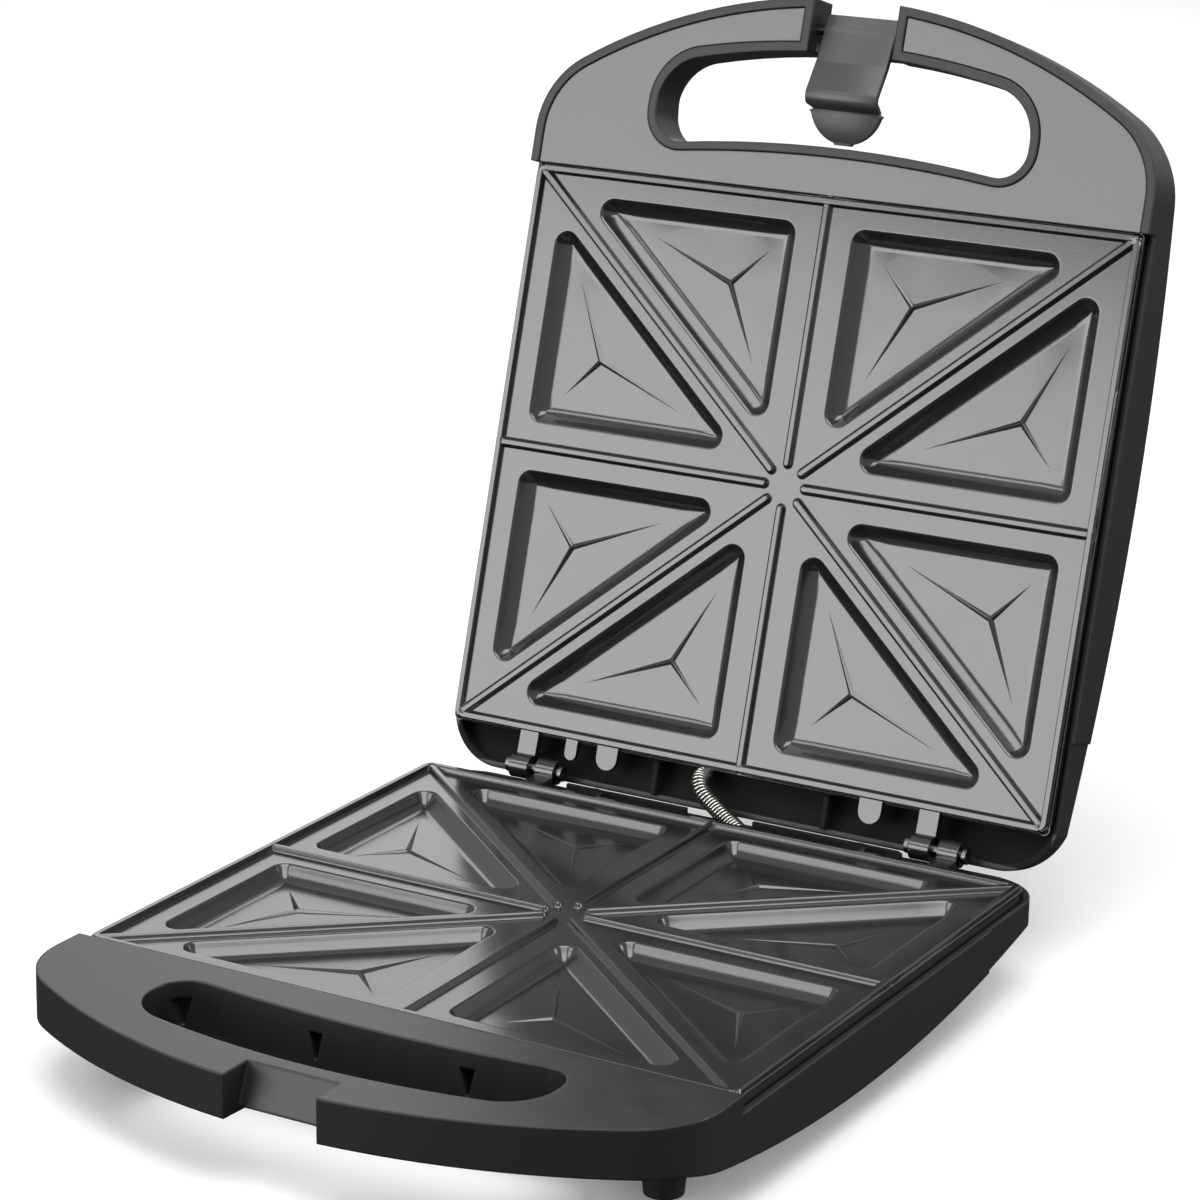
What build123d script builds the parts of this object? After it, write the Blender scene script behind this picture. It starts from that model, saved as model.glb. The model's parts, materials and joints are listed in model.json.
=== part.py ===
from build123d import *
import math
import os

# Four-slice sandwich toaster, lid open and leaning back on its hinge.
# Millimetres. Origin on the surface it stands on, under the middle of the lower
# cooking plate; +X to the right, +Y to the hinge side, +Z up.

# ---- overall sizes -------------------------------------------------------------
plate_width = 250.0
plate_depth = 216.4
open_angle = 106.0        # from closed; the lid leans back 16 degrees past upright
parting_height = 41.0     # the plane where the two plates meet, above the table

# ---- cooking plates ------------------------------------------------------------
plate_corner = 4.0
rim_gap = 0.25            # each rim stays this far from the parting plane
rim_width = 3.2
land_depth = 2.4          # flat land below the parting plane
pocket_depth = 5.2        # pocket floor below the land
plate_wall = 2.6
skirt_depth = 8.0
skirt_wall = 2.6
ridge_width = 4.4
ridge_low = 0.2           # ridges are this much lower than the rim
ridge_taper = 22.0
ridge_stop = 8.5          # ridges stop this far from the middle
pocket_edge_x = 12.2      # pocket outline from the short outer edges
pocket_edge_y = 10.4      # pocket outline from the long outer edges
pocket_from_x_ridge = 9.6
pocket_from_y_ridge = 12.0
pocket_from_diagonal = 6.3
pocket_slope = 6.4        # how far the pocket wall leans in
pocket_corner = 5.0
floor_corner = 2.2
stud_radius = 4.0
stud_proud = 1.0          # studs stand this far beyond the pocket backs

# ---- hinge ---------------------------------------------------------------------
hinge_gap = 13.5          # plate edge to hinge axis
hinge_pin_radius = 2.0
hinge_fit = 0.06          # radial running clearance
knuckle_radius = 4.7
knuckle_length = 8.0
outer_knuckle_in = 34.5   # knuckle middles, in from the plate's short edges
inner_knuckle_in = 46.0
pin_overhang = 0.9        # beyond the outer faces of a pair of knuckles
pin_head_radius = 3.0
pin_head_length = 1.6
lug_thickness = 2.8
lug_root = 1.2            # each lug runs this far into the plate

# ---- housings ------------------------------------------------------------------
shell_wall = 2.4
shell_gap = 0.5           # between a plate and the wall round it
wall_recess = 6.5         # side and rear walls stop this far below the parting plane
rear_reach = 16.8         # rear wall beyond the plate edge
rear_corner = 22.0
rear_step = 0.8           # the rear part of each side is set in by this much
rear_step_y = 75.0
shell_depth_front = 15.0
shell_depth_neck = 17.2
belly_room = 10.7         # from the heat shield to the outside, where it is deepest
shell_depth_rear = 12.4
rear_rib_x = 36.0         # two ribs inside the lid's rear wall
rear_rib_width = 2.0
rear_rib_top = 4.0
rear_rib_gap = 2.3        # from the plate's edge
screen_top = 2.8          # upright in the base that closes the view under the hinge
screen_thickness = 1.5
screen_from_axis = 0.7
screen_from_knuckle = 5.0
screen_gap = (10.0, 18.0) # open for the lead guard
neck_reach = 32.0         # the belly starts this far in front of the plate edge
middle_y = -20.0          # and is deepest near here

# ---- handles -------------------------------------------------------------------
handle_reach = 73.5       # front of the handle beyond the plate edge
handle_front_bow = 0.852  # radius of the bowed front, as a share of the plate's width
handle_corner = 34.0
handle_wall = 3.0
finger_in = 48.0          # ends of the finger opening, in from the plate's short edges
finger_near = 12.4        # finger opening's rear edge beyond the plate, at its ends
finger_near_bow = 5.9
finger_far = 42.8         # its front edge beyond the plate, at its ends
finger_far_bow = 10.5
finger_corner_near = 11.0
finger_corner_far = 19.0
notch_width = 35.0
notch_lip_back = 14.1     # top of the latch recess behind the handle's front
notch_lip_slope = 4.9
notch_lip_depth = 14.0
notch_lip_flat = 0.5      # upright top edge of the recess's sloping wall
notch_undercut = 3.0      # cut away this far behind the lip, below it
rim_band = 3.4
cover_gap = 0.4
cover_thickness = 2.4
cover_recess = 0.5
cover_ledge = 1.4
cover_post_radius = 3.6
cover_post_meet = 8.0
cover_bore_floor = 0.6    # the screw bore stops this far from the cover's sheet
cover_screw_end = 1.2
wall_slot_x = (19.7, -37.5)   # tapering slots in the wall behind the finger opening
wall_slot_from_end = 3.5  # and one this far from its left end
wall_slot_width = 5.6
wall_slot_tip = 1.0
wall_slot_top = 6.0
wall_slot_bottom = 15.5

# ---- latch, in lid coordinates: y back, z away from the plates --------------------
latch_play = 5.5          # narrower than its notch by this much
latch_pin_back = 11.7     # pivot behind the handle's front
latch_pin_depth = 10.0
latch_pin_radius = 1.5
latch_fit = 0.08
latch_pin_seat = 2.6
latch_hub_radius = 3.9
bridge_wall = 2.6
bridge_stop = (7.1, 8.1)  # depth of its underside, finger side and notch side

# ---- inside --------------------------------------------------------------------
element_radius = 3.2
element_gap = 0.3
element_in = 37.0         # heater's long runs, in from the plate's short edges
element_in_y = 42.2       # and its short runs, in from the long edges
element_bend = 18.0
element_end_bend = 10.0
element_end_x = 18.0
element_tail = 22.0
clamp_sheet = 0.9
clamp_gap = 0.3
clamp_length = 9.0
clamp_flange = 6.0
shield_sheet = 0.6
shield_gap = 0.3
shield_corner = 8.0
shield_in = 25.0
shield_in_front = 29.2
shield_in_back = 42.2
shield_rim = 2.6
boss_radius = 4.6
screw_radius = 1.7
screw_head_radius = 3.2
screw_head_length = 2.0
screw_fit = 0.15
screw_slack = 0.05        # in a plastic or cast bore
screw_reach = 6.0
screw_tip = 1.0           # bore left below a screw's end
screw_sunk = 1.4          # heads lie this far inside the housing's face

lamp_radius = 4.0
lamp_spread = 12.0
lamp_from_front = 7.0
lamp_flange = 1.2         # thickness of the flange, and its step out
lamp_seat_gap = 0.9
lamp_proud = 0.9
lamp_holder_height = 5.0
lamp_holder_width = 9.0
lamp_holder_end = 6.0
lamp_holder_corner = 2.0
lamp_holder_floor = 1.2
lamp_holder_gap = 0.2
lamp_socket_radius = 2.6
thermostat_radius = 8.0
thermostat_height = 3.2
thermostat_plate = (24.0, 9.0, 3.0)   # length, width, corner of its foot
thermostat_foot = 0.8
thermostat_tab = (4.8, 0.8, 5.0)      # width, thickness, height of its terminals
thermostat_tab_at = (4.0, 3.0)
thermostat_x = -45.0
thermostat_in = 28.2
fuse_radius = 2.1
fuse_length = 20.0
fuse_gap = 0.2
fuse_wire_radius = 0.8
fuse_wire_end = 6.0
fuse_x = -60.0
fuse_in = 26.2

# ---- feet ----------------------------------------------------------------------
foot_height = 8.0
foot_radius_top = 7.4
foot_radius_floor = 6.6
foot_spigot = 3.0
foot_spigot_length = 4.0
stem_radius = 8.2
front_foot_in = (26.0, 2.2)   # in from the plate's short and long edges
rear_foot_in = (31.0, 18.2)

# ---- lead guard ----------------------------------------------------------------
guard_radius = 3.6
guard_bore = 2.8
lead_radius = 2.2
guard_exit_x = -17.0      # where it passes through each plate's skirt
guard_depth = 9.4
guard_notch = 11.0        # width of the notch in the skirt

# ---- cord inlet ----------------------------------------------------------------
inlet_x = 52.0
inlet_box_width = 30.0
inlet_box_depth = 27.0
inlet_box_length = 30.0
inlet_box_top = 8.0
inlet_box_corner = 4.0
gland_radius = 6.0
gland_flange = 8.0
gland_flange_length = 2.5
gland_bore = 3.6
gland_depth = 18.5
gland_length = 12.0
block_width = 22.0
block_length = 9.0
block_height = 8.0
block_depth = 15.5
block_pitch = 7.0
block_bore = 1.5
block_from_rear = 21.0

# ---- worked out ----------------------------------------------------------------
half_width = plate_width / 2
half_depth = plate_depth / 2
hinge_y = half_depth + hinge_gap
handle_front_radius = handle_front_bow * plate_width
outer_knuckle_x = half_width - outer_knuckle_in
inner_knuckle_x = half_width - inner_knuckle_in
finger_width = plate_width - 2 * finger_in
latch_width = notch_width - latch_play
element_x = half_width - element_in
element_y = half_depth - element_in_y
shield_x = half_width - shield_in
shield_front = half_depth - shield_in_front
shield_back = half_depth - shield_in_back
thermostat_y = thermostat_in - half_depth
fuse_y = half_depth - fuse_in
front_foot_x = half_width - front_foot_in[0]
front_foot_y = half_depth - front_foot_in[1]
rear_foot_x = half_width - rear_foot_in[0]
rear_foot_y = half_depth - rear_foot_in[1]
shell_x = half_width + shell_gap + shell_wall
shell_rear = half_depth + rear_reach
body_front = -half_depth - shell_gap
handle_front = -half_depth - handle_reach
floor_depth = land_depth + pocket_depth
under_depth = floor_depth + plate_wall
element_depth = under_depth + element_gap + element_radius
clamp_inner = element_radius + clamp_gap
shield_depth = element_depth + clamp_inner + clamp_sheet + shield_gap
shell_depth_middle = shield_depth + shield_sheet + belly_room
stud_depth = under_depth + stud_proud
neck_y = -half_depth - neck_reach
pin_y = handle_front + latch_pin_back
stem_end = parting_height - foot_height
block_y = shell_rear - block_from_rear

opening = math.radians(open_angle)
base_half = Plane(origin=(0, 0, parting_height), x_dir=(-1, 0, 0), z_dir=(0, 0, -1))
lid_half = Plane(
    origin=(0, hinge_y * (1 - math.cos(opening)), parting_height + hinge_y * math.sin(opening)),
    x_dir=(1, 0, 0),
    z_dir=(0, math.sin(opening), math.cos(opening)),
)
# Both halves are drawn the same way: x across, y to the hinge, z into the housing.

os.makedirs("parts", exist_ok=True)


def save(part, name):
    """Label one finished piece and write it."""
    part.label = name
    export_step(part, f"parts/{name}.step")


def side_plane(half, x=0.0):
    """Plane across x: its x runs to the hinge, its y into the housing."""
    return Plane(origin=half.from_local_coords((x, 0, 0)), x_dir=half.y_dir, z_dir=half.x_dir)


# ---- shared outlines -----------------------------------------------------------


def body_outline(inset):
    """Housing outline round the plate, with rounded hinge-side corners."""
    x = shell_x - inset
    rear = shell_rear - inset
    front = body_front - shell_wall + inset
    with BuildSketch() as face:
        Polygon((-x, rear), (-x, front), (x, front), (x, rear), align=None)
        fillet(face.vertices().group_by(Axis.Y)[-1], radius=rear_corner - inset)
    return face.sketch


def handle_outline(inset, back):
    """Handle from the body to its bowed front, ending at y = back."""
    x = shell_x - inset
    radius = handle_front_radius - inset
    front = handle_front + inset
    side_y = front + radius - math.sqrt(radius**2 - x**2)
    with BuildSketch() as face:
        with BuildLine():
            Line((-x, side_y), (-x, back))
            Line((-x, back), (x, back))
            Line((x, back), (x, side_y))
            ThreePointArc((x, side_y), (0, front), (-x, side_y))
        make_face()
        fillet(face.vertices().group_by(Axis.Y)[0], radius=handle_corner - inset)
    return face.sketch


def finger_outline(outset):
    """The finger opening, grown by outset."""
    x = finger_width / 2 + outset
    near = -half_depth - finger_near + outset
    far = -half_depth - finger_far - outset
    with BuildSketch() as face:
        with BuildLine():
            ThreePointArc((-x, near), (0, near - finger_near_bow), (x, near))
            Line((x, near), (x, far))
            ThreePointArc((x, far), (0, far - finger_far_bow), (-x, far))
            Line((-x, far), (-x, near))
        make_face()
        fillet(face.vertices().group_by(Axis.Y)[-1], radius=finger_corner_near + outset)
        fillet(face.vertices().group_by(Axis.Y)[0], radius=finger_corner_far + outset)
    return face.sketch


def side_outline(inset):
    """Side view of a housing: flat at the handle, then one long belly to the hinge."""
    past = shell_rear + 5
    with BuildSketch() as face:
        with BuildLine():
            Polyline(
                (handle_front - 5, shell_depth_front - inset),
                (handle_front - 5, -10),
                (past, -10),
                (past, belly_depth(past) - inset),
            )
            ThreePointArc(
                (past, belly_depth(past) - inset),
                (middle_y, shell_depth_middle - inset),
                (neck_y, shell_depth_neck - inset),
            )
            Line((neck_y, shell_depth_neck - inset), (handle_front - 5, shell_depth_front - inset))
        make_face()
    return face.sketch


def belly_prism(half, inset):
    """The space above a housing's underside, as wide as it is."""
    with BuildPart() as prism:
        with BuildSketch(side_plane(half)):
            add(side_outline(inset))
        extrude(amount=shell_x + 1, both=True)
    return prism.part


def housing_form(half):
    """A housing as one solid lump: body and handle, before it is hollowed."""
    with BuildPart() as form:
        with BuildSketch(half):
            add(body_outline(0))
            add(handle_outline(0, body_front))
        extrude(amount=shell_depth_middle + 5)
        add(belly_prism(half, 0), mode=Mode.INTERSECT)
        with BuildSketch(half.offset(-1)):
            with Locations((-shell_x, rear_step_y), (shell_x, rear_step_y)):
                Rectangle(2 * rear_step, shell_rear, align=(Align.CENTER, Align.MIN))
        extrude(amount=shell_depth_middle + 5, mode=Mode.SUBTRACT)
    return form.part


def body_hollow(half):
    """What is taken out of a housing round and under its plate."""
    with BuildPart() as hollow:
        with BuildSketch(half):
            add(body_outline(shell_wall))
        extrude(amount=shell_depth_middle)
        add(belly_prism(half, shell_wall), mode=Mode.INTERSECT)
    return hollow.part


def wall_cut(half):
    """The strip that lowers the side and rear walls below the parting plane."""
    with BuildPart() as cut:
        with BuildSketch(half.offset(-1)):
            with Locations((0, (body_front + shell_rear + 10) / 2)):
                Rectangle(2 * shell_x + 10, shell_rear + 10 - body_front)
        extrude(amount=wall_recess + 1)
    return cut.part


def handle_hollow(half, inset, start, floor):
    """The handle's inside, clear of its outer wall, finger wall and notch cheeks."""
    with BuildPart() as hollow:
        with BuildSketch(half.offset(start)):
            add(handle_outline(inset, body_front - shell_wall))
            add(finger_outline(inset), mode=Mode.SUBTRACT)
            with Locations((0, handle_front)):
                Rectangle(notch_width + 2 * inset, 2 * (handle_reach - finger_far), mode=Mode.SUBTRACT)
        extrude(amount=shell_depth_middle)
        add(belly_prism(half, floor), mode=Mode.INTERSECT)
    return hollow.part


boss_places = [
    (0, half_depth - 20.0),
    (0, -half_depth + 20.0),
    (half_width - 17.0, 0),
    (-half_width + 17.0, 0),
]


def plate_bosses(half):
    """Posts inside a housing that meet the plate's studs, cut to the housing."""
    with BuildPart() as posts:
        with BuildSketch(half.offset(stud_depth)):
            with Locations(*boss_places):
                Circle(boss_radius)
        extrude(amount=shell_depth_middle)
        add(belly_prism(half, shell_wall / 2), mode=Mode.INTERSECT)
    return posts.part


def belly_depth(y):
    """Depth of a housing's underside at y, from the same three points as its arc."""
    x1, y1 = neck_y, shell_depth_neck
    x2, y2 = middle_y, shell_depth_middle
    x3, y3 = shell_rear, shell_depth_rear
    d = 2 * (x1 * (y2 - y3) + x2 * (y3 - y1) + x3 * (y1 - y2))
    s1, s2, s3 = x1**2 + y1**2, x2**2 + y2**2, x3**2 + y3**2
    cx = (s1 * (y2 - y3) + s2 * (y3 - y1) + s3 * (y1 - y2)) / d
    cy = (s1 * (x3 - x2) + s2 * (x1 - x3) + s3 * (x2 - x1)) / d
    radius = math.hypot(x1 - cx, y1 - cy)
    return cy + math.sqrt(radius**2 - (y - cx) ** 2)


def rear_ribs(half):
    """Two ribs that stiffen a rear wall from inside."""
    start, end = half_depth + rear_rib_gap, shell_rear - shell_wall + 0.3
    with BuildPart() as ribs:
        with BuildSketch(half.offset(rear_rib_top)):
            with Locations((0, (start + end) / 2)):
                with GridLocations(2 * rear_rib_x, 1, 2, 1):
                    Rectangle(rear_rib_width, end - start)
        extrude(amount=shell_depth_middle)
        add(belly_prism(half, shell_wall / 2), mode=Mode.INTERSECT)
    return ribs.part


def rear_screen(half):
    """Upright strip in front of the rear wall, between the hinge knuckles."""
    outer = inner_knuckle_x - knuckle_length / 2 - screen_from_knuckle
    with BuildPart() as screen:
        with BuildSketch(half.offset(screen_top)):
            for x0, x1 in ((-outer, -screen_gap[0]), (screen_gap[1], outer)):
                with Locations(((x0 + x1) / 2, hinge_y - screen_from_axis)):
                    Rectangle(x1 - x0, screen_thickness, align=(Align.CENTER, Align.MAX))
        extrude(amount=shell_depth_middle)
        add(belly_prism(half, shell_wall / 2), mode=Mode.INTERSECT)
    return screen.part


def screw_seat(place):
    """Depth of the face that a plate screw's head bears on."""
    return belly_depth(place[1]) - screw_head_length - screw_sunk


def handle_screw_seat(place):
    """The same for a screw in the handle, where the housing runs straight."""
    slope = (shell_depth_front - shell_depth_neck) / (handle_front - 5 - neck_y)
    y = place[1]
    depth = shell_depth_neck + slope * (y - neck_y) if y < neck_y else belly_depth(y)
    return depth - screw_head_length - screw_sunk


# ---- cooking plates ------------------------------------------------------------


def corner_meet(p, u, q, v):
    """Where the line through p along u meets the line through q along v."""
    cross = u[0] * v[1] - u[1] * v[0]
    k = ((q[0] - p[0]) * v[1] - (q[1] - p[1]) * v[0]) / cross
    return (p[0] + u[0] * k, p[1] + u[1] * k)


diagonal_length = math.hypot(half_width, half_depth)
along_diagonal = (half_width / diagonal_length, half_depth / diagonal_length)


def pocket_points(kind, shrink):
    """Three corners of a pocket in the first quadrant, walls moved in by shrink."""
    away = pocket_from_diagonal + shrink
    if kind == "side":
        diagonal_at = (along_diagonal[1] * away, -along_diagonal[0] * away)
        outer = (half_width - pocket_edge_x - shrink, 0)
        ridge = (0, pocket_from_x_ridge + shrink)
        edges = [(diagonal_at, along_diagonal), (outer, (0, 1)), (ridge, (1, 0))]
    else:
        diagonal_at = (-along_diagonal[1] * away, along_diagonal[0] * away)
        outer = (0, half_depth - pocket_edge_y - shrink)
        ridge = (pocket_from_y_ridge + shrink, 0)
        edges = [(diagonal_at, along_diagonal), (outer, (1, 0)), (ridge, (0, 1))]
    return [corner_meet(*edges[i], *edges[(i + 1) % 3]) for i in range(3)]


def pocket_face(kind, shrink, corner, signs):
    """A pocket's outline with rounded corners, mirrored into its quadrant."""
    points = [(x * signs[0], y * signs[1]) for x, y in pocket_points(kind, shrink)]
    with BuildSketch() as face:
        Polygon(*points, align=None)
        fillet(face.vertices(), radius=corner)
    return face.sketch


def pocket_solid(half, kind, signs, grow, top, bottom):
    """A tapering block in the shape of one pocket, grown sideways by grow."""
    with BuildPart() as block:
        with BuildSketch(half.offset(top)):
            add(pocket_face(kind, -grow, pocket_corner + grow, signs))
        with BuildSketch(half.offset(bottom)):
            add(pocket_face(kind, pocket_slope - grow, floor_corner + grow, signs))
        loft()
    return block.part


def cooking_plate(half):
    """One die-cast plate; the same casting serves as lower and upper plate."""
    quadrants = [(1, 1), (-1, 1), (1, -1), (-1, -1)]
    pockets = [(kind, signs) for kind in ("side", "end") for signs in quadrants]
    with BuildPart() as plate:
        with BuildSketch(half.offset(rim_gap)):
            RectangleRounded(plate_width, plate_depth, plate_corner)
        extrude(amount=land_depth + plate_wall - rim_gap)
        with BuildSketch(half.offset(rim_gap)):
            RectangleRounded(
                plate_width - 2 * rim_width,
                plate_depth - 2 * rim_width,
                plate_corner - rim_width,
            )
        extrude(amount=land_depth - rim_gap, mode=Mode.SUBTRACT)
        with BuildSketch(half.offset(land_depth)):
            RectangleRounded(plate_width, plate_depth, plate_corner)
            RectangleRounded(
                plate_width - 2 * skirt_wall,
                plate_depth - 2 * skirt_wall,
                plate_corner - skirt_wall,
                mode=Mode.SUBTRACT,
            )
        extrude(amount=skirt_depth - land_depth)
        for kind, signs in pockets:
            add(pocket_solid(half, kind, signs, plate_wall, land_depth + 0.5, under_depth))
        with BuildSketch(half.offset(land_depth + plate_wall)):
            with Locations((guard_exit_x, half_depth)):
                Rectangle(guard_notch, 3 * skirt_wall)
        extrude(amount=skirt_depth, mode=Mode.SUBTRACT)
        with BuildSketch(half.offset(land_depth)):
            for angle, reach in (
                (0, half_width),
                (90, half_depth),
                (180, half_width),
                (270, half_depth),
            ):
                with Locations(Location((0, 0), angle)):
                    with Locations(((reach - 1 + ridge_stop) / 2, 0)):
                        Rectangle(reach - 1 - ridge_stop, ridge_width)
            for sx, sy in quadrants:
                turn = math.degrees(math.atan2(sy * half_depth, sx * half_width))
                reach = diagonal_length - plate_corner
                with Locations(Location((0, 0), turn)):
                    with Locations(((reach + ridge_stop) / 2, 0)):
                        Rectangle(reach - ridge_stop, ridge_width)
        extrude(amount=-(land_depth - rim_gap - ridge_low), taper=ridge_taper)
        with BuildSketch(half.offset(land_depth + plate_wall)):
            with Locations(*boss_places):
                Circle(stud_radius)
        extrude(amount=stud_depth - land_depth - plate_wall)
        for kind, signs in pockets:
            add(
                pocket_solid(half, kind, signs, 0, land_depth - 0.01, floor_depth),
                mode=Mode.SUBTRACT,
            )
        with BuildSketch(half.offset(stud_depth)):
            with Locations(*boss_places):
                Circle(screw_radius)
        extrude(amount=-screw_reach, mode=Mode.SUBTRACT)
        for x in (-outer_knuckle_x, inner_knuckle_x):
            with BuildSketch(side_plane(half, x)):
                with Locations((half_depth + (hinge_gap - lug_root) / 2, land_depth)):
                    Rectangle(hinge_gap + lug_root, lug_thickness)
                with Locations((hinge_y, 0)):
                    Circle(knuckle_radius)
            extrude(amount=knuckle_length / 2, both=True)
            with BuildSketch(side_plane(half, x)):
                with Locations((hinge_y, 0)):
                    Circle(hinge_pin_radius + hinge_fit)
            extrude(amount=knuckle_length, both=True, mode=Mode.SUBTRACT)
    return plate.part


save(cooking_plate(base_half), "lower_cooking_plate")
save(cooking_plate(lid_half), "upper_cooking_plate")

# ---- hinge pins ----------------------------------------------------------------

for side, sign in (("left", -1), ("right", 1)):
    near = sign * (inner_knuckle_x - knuckle_length / 2 - pin_overhang)
    far = sign * (outer_knuckle_x + knuckle_length / 2 + pin_overhang)
    with BuildPart() as pin:
        with BuildSketch(Plane.YZ.offset(near)):
            with Locations((hinge_y, parting_height)):
                Circle(hinge_pin_radius)
        extrude(amount=far - near)
        with BuildSketch(Plane.YZ.offset(far)):
            with Locations((hinge_y, parting_height)):
                Circle(pin_head_radius)
        extrude(amount=sign * pin_head_length)
        with BuildSketch(Plane.YZ.offset(near)):
            with Locations((hinge_y, parting_height)):
                Circle(pin_head_radius)
        extrude(amount=-sign * pin_head_length)
    save(pin.part, f"{side}_hinge_pin")

# ---- base housing --------------------------------------------------------------

foot_places = {
    "front_left": (-front_foot_x, -front_foot_y),
    "front_right": (front_foot_x, -front_foot_y),
    "rear_left": (-rear_foot_x, rear_foot_y),
    "rear_right": (rear_foot_x, rear_foot_y),
}
stem_places = [(-x, y) for x, y in foot_places.values()]


def inlet_box(half, inset, length):
    """Box under the hinge side where the supply lead comes in."""
    with BuildPart() as box:
        with BuildSketch(half.offset(inlet_box_top)):
            with Locations((-inlet_x, shell_rear - length / 2 - inset)):
                RectangleRounded(inlet_box_width - 2 * inset, length, inlet_box_corner - inset)
        extrude(amount=inlet_box_depth - inlet_box_top - inset)
    return box.part


with BuildPart() as base_shell:
    add(housing_form(base_half))
    with BuildSketch(base_half.offset(land_depth)):
        with Locations(*stem_places):
            Circle(stem_radius)
    extrude(amount=stem_end - land_depth)
    add(inlet_box(base_half, 0, inlet_box_length))
    add(body_hollow(base_half), mode=Mode.SUBTRACT)
    add(inlet_box(base_half, shell_wall, inlet_box_length - 2 * shell_wall), mode=Mode.SUBTRACT)
    add(wall_cut(base_half), mode=Mode.SUBTRACT)
    # finger opening, and the handle hollowed from below
    with BuildSketch(base_half.offset(-1)):
        add(finger_outline(0))
    extrude(amount=shell_depth_middle + 2, mode=Mode.SUBTRACT)
    with BuildSketch(base_half.offset(handle_wall)):
        add(handle_outline(handle_wall, body_front - shell_wall))
        add(finger_outline(handle_wall), mode=Mode.SUBTRACT)
        with Locations((0, handle_front)):
            Rectangle(
                notch_width + 2 * handle_wall,
                2 * (handle_reach - finger_far),
                mode=Mode.SUBTRACT,
            )
        with Locations(*stem_places):
            Circle(stem_radius, mode=Mode.SUBTRACT)
    extrude(amount=shell_depth_middle, mode=Mode.SUBTRACT)
    # latch recess: open at the front, sloping back wall, cut away beneath
    with BuildSketch(side_plane(base_half)):
        lip = handle_front + notch_lip_back
        Polygon(
            (handle_front - 5, -1),
            (lip, -1),
            (lip, notch_lip_flat),
            (lip - notch_lip_slope, notch_lip_depth),
            (lip + notch_undercut, notch_lip_depth),
            (lip + notch_undercut, shell_depth_neck + 5),
            (handle_front - 5, shell_depth_neck + 5),
            align=None,
        )
    extrude(amount=notch_width / 2, both=True, mode=Mode.SUBTRACT)
    # posts for the plate screws
    add(plate_bosses(base_half))
    with BuildSketch(base_half):
        with Locations(*boss_places):
            Circle(screw_radius + screw_fit)
    extrude(amount=shell_depth_middle + 2, mode=Mode.SUBTRACT)
    for place in boss_places:
        with BuildSketch(base_half.offset(screw_seat(place))):
            with Locations(place):
                Circle(screw_head_radius + screw_fit)
        extrude(amount=shell_depth_middle, mode=Mode.SUBTRACT)
    # spigot holes for the feet, and the hole for the cord gland
    with BuildSketch(base_half.offset(stem_end)):
        with Locations(*stem_places):
            Circle(foot_spigot + screw_fit)
    extrude(amount=-foot_spigot_length - 1, mode=Mode.SUBTRACT)
    with BuildSketch(Plane.XZ.offset(-shell_rear - 1)):
        with Locations((inlet_x, parting_height - gland_depth)):
            Circle(gland_radius + screw_fit)
    extrude(amount=shell_wall + 2, mode=Mode.SUBTRACT)
    # tapering slots through the wall behind the finger opening
    for x in (finger_width / 2 - wall_slot_from_end, *wall_slot_x):
        near = -half_depth - finger_near - finger_near_bow
        with BuildSketch(
            Plane(
                origin=base_half.from_local_coords((x, near - 2, 0)),
                x_dir=base_half.x_dir,
                z_dir=base_half.y_dir,
            )
        ):
            Polygon(
                (-wall_slot_width / 2, -wall_slot_top),
                (wall_slot_width / 2, -wall_slot_top),
                (wall_slot_tip / 2, -wall_slot_bottom),
                (-wall_slot_tip / 2, -wall_slot_bottom),
                align=None,
            )
        extrude(amount=finger_near_bow + handle_wall + 2.5, mode=Mode.SUBTRACT)
    add(rear_screen(base_half))
save(base_shell.part, "base_shell")

for name, (x, y) in foot_places.items():
    with BuildPart() as foot:
        with BuildSketch(Plane.XY):
            with Locations((x, y)):
                Circle(foot_radius_floor)
        with BuildSketch(Plane.XY.offset(foot_height)):
            with Locations((x, y)):
                Circle(foot_radius_top)
        loft()
        with BuildSketch(Plane.XY.offset(foot_height)):
            with Locations((x, y)):
                Circle(foot_spigot)
        extrude(amount=foot_spigot_length)
    save(foot.part, f"{name}_foot")

with BuildPart() as cord_gland:
    with BuildSketch(Plane.XZ.offset(-shell_rear)):
        with Locations((inlet_x, parting_height - gland_depth)):
            Circle(gland_radius)
    extrude(amount=gland_length)
    with BuildSketch(Plane.XZ.offset(-shell_rear)):
        with Locations((inlet_x, parting_height - gland_depth)):
            Circle(gland_flange)
    extrude(amount=-gland_flange_length)
    with BuildSketch(Plane.XZ.offset(-shell_rear - gland_flange_length - 0.5)):
        with Locations((inlet_x, parting_height - gland_depth)):
            Circle(gland_bore)
    extrude(amount=gland_length + 4, mode=Mode.SUBTRACT)
save(cord_gland.part, "cord_gland")

# ---- lid housing ---------------------------------------------------------------

lamp_y = body_front + lamp_from_front
lamp_seat = belly_depth(lamp_y) - shell_wall - lamp_seat_gap
lamp_places = {
    "power_lamp_lens": (-lamp_spread, lamp_y),
    "ready_lamp_lens": (lamp_spread, lamp_y),
}
cover_screw_places = [
    (sign * (shell_x - inward), -half_depth - forward)
    for sign in (-1, 1)
    for inward, forward in ((22.0, 13.0), (30.0, 36.0))
]
seat_depth = cover_recess + cover_thickness


def cover_posts(half, radius, top):
    """Posts behind the handle cover, from top down to the housing's outer wall."""
    with BuildPart() as posts:
        with BuildSketch(half.offset(top)):
            with Locations(*cover_screw_places):
                Circle(radius)
        extrude(amount=shell_depth_middle)
        add(belly_prism(half, shell_wall / 2), mode=Mode.INTERSECT)
    return posts.part


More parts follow.
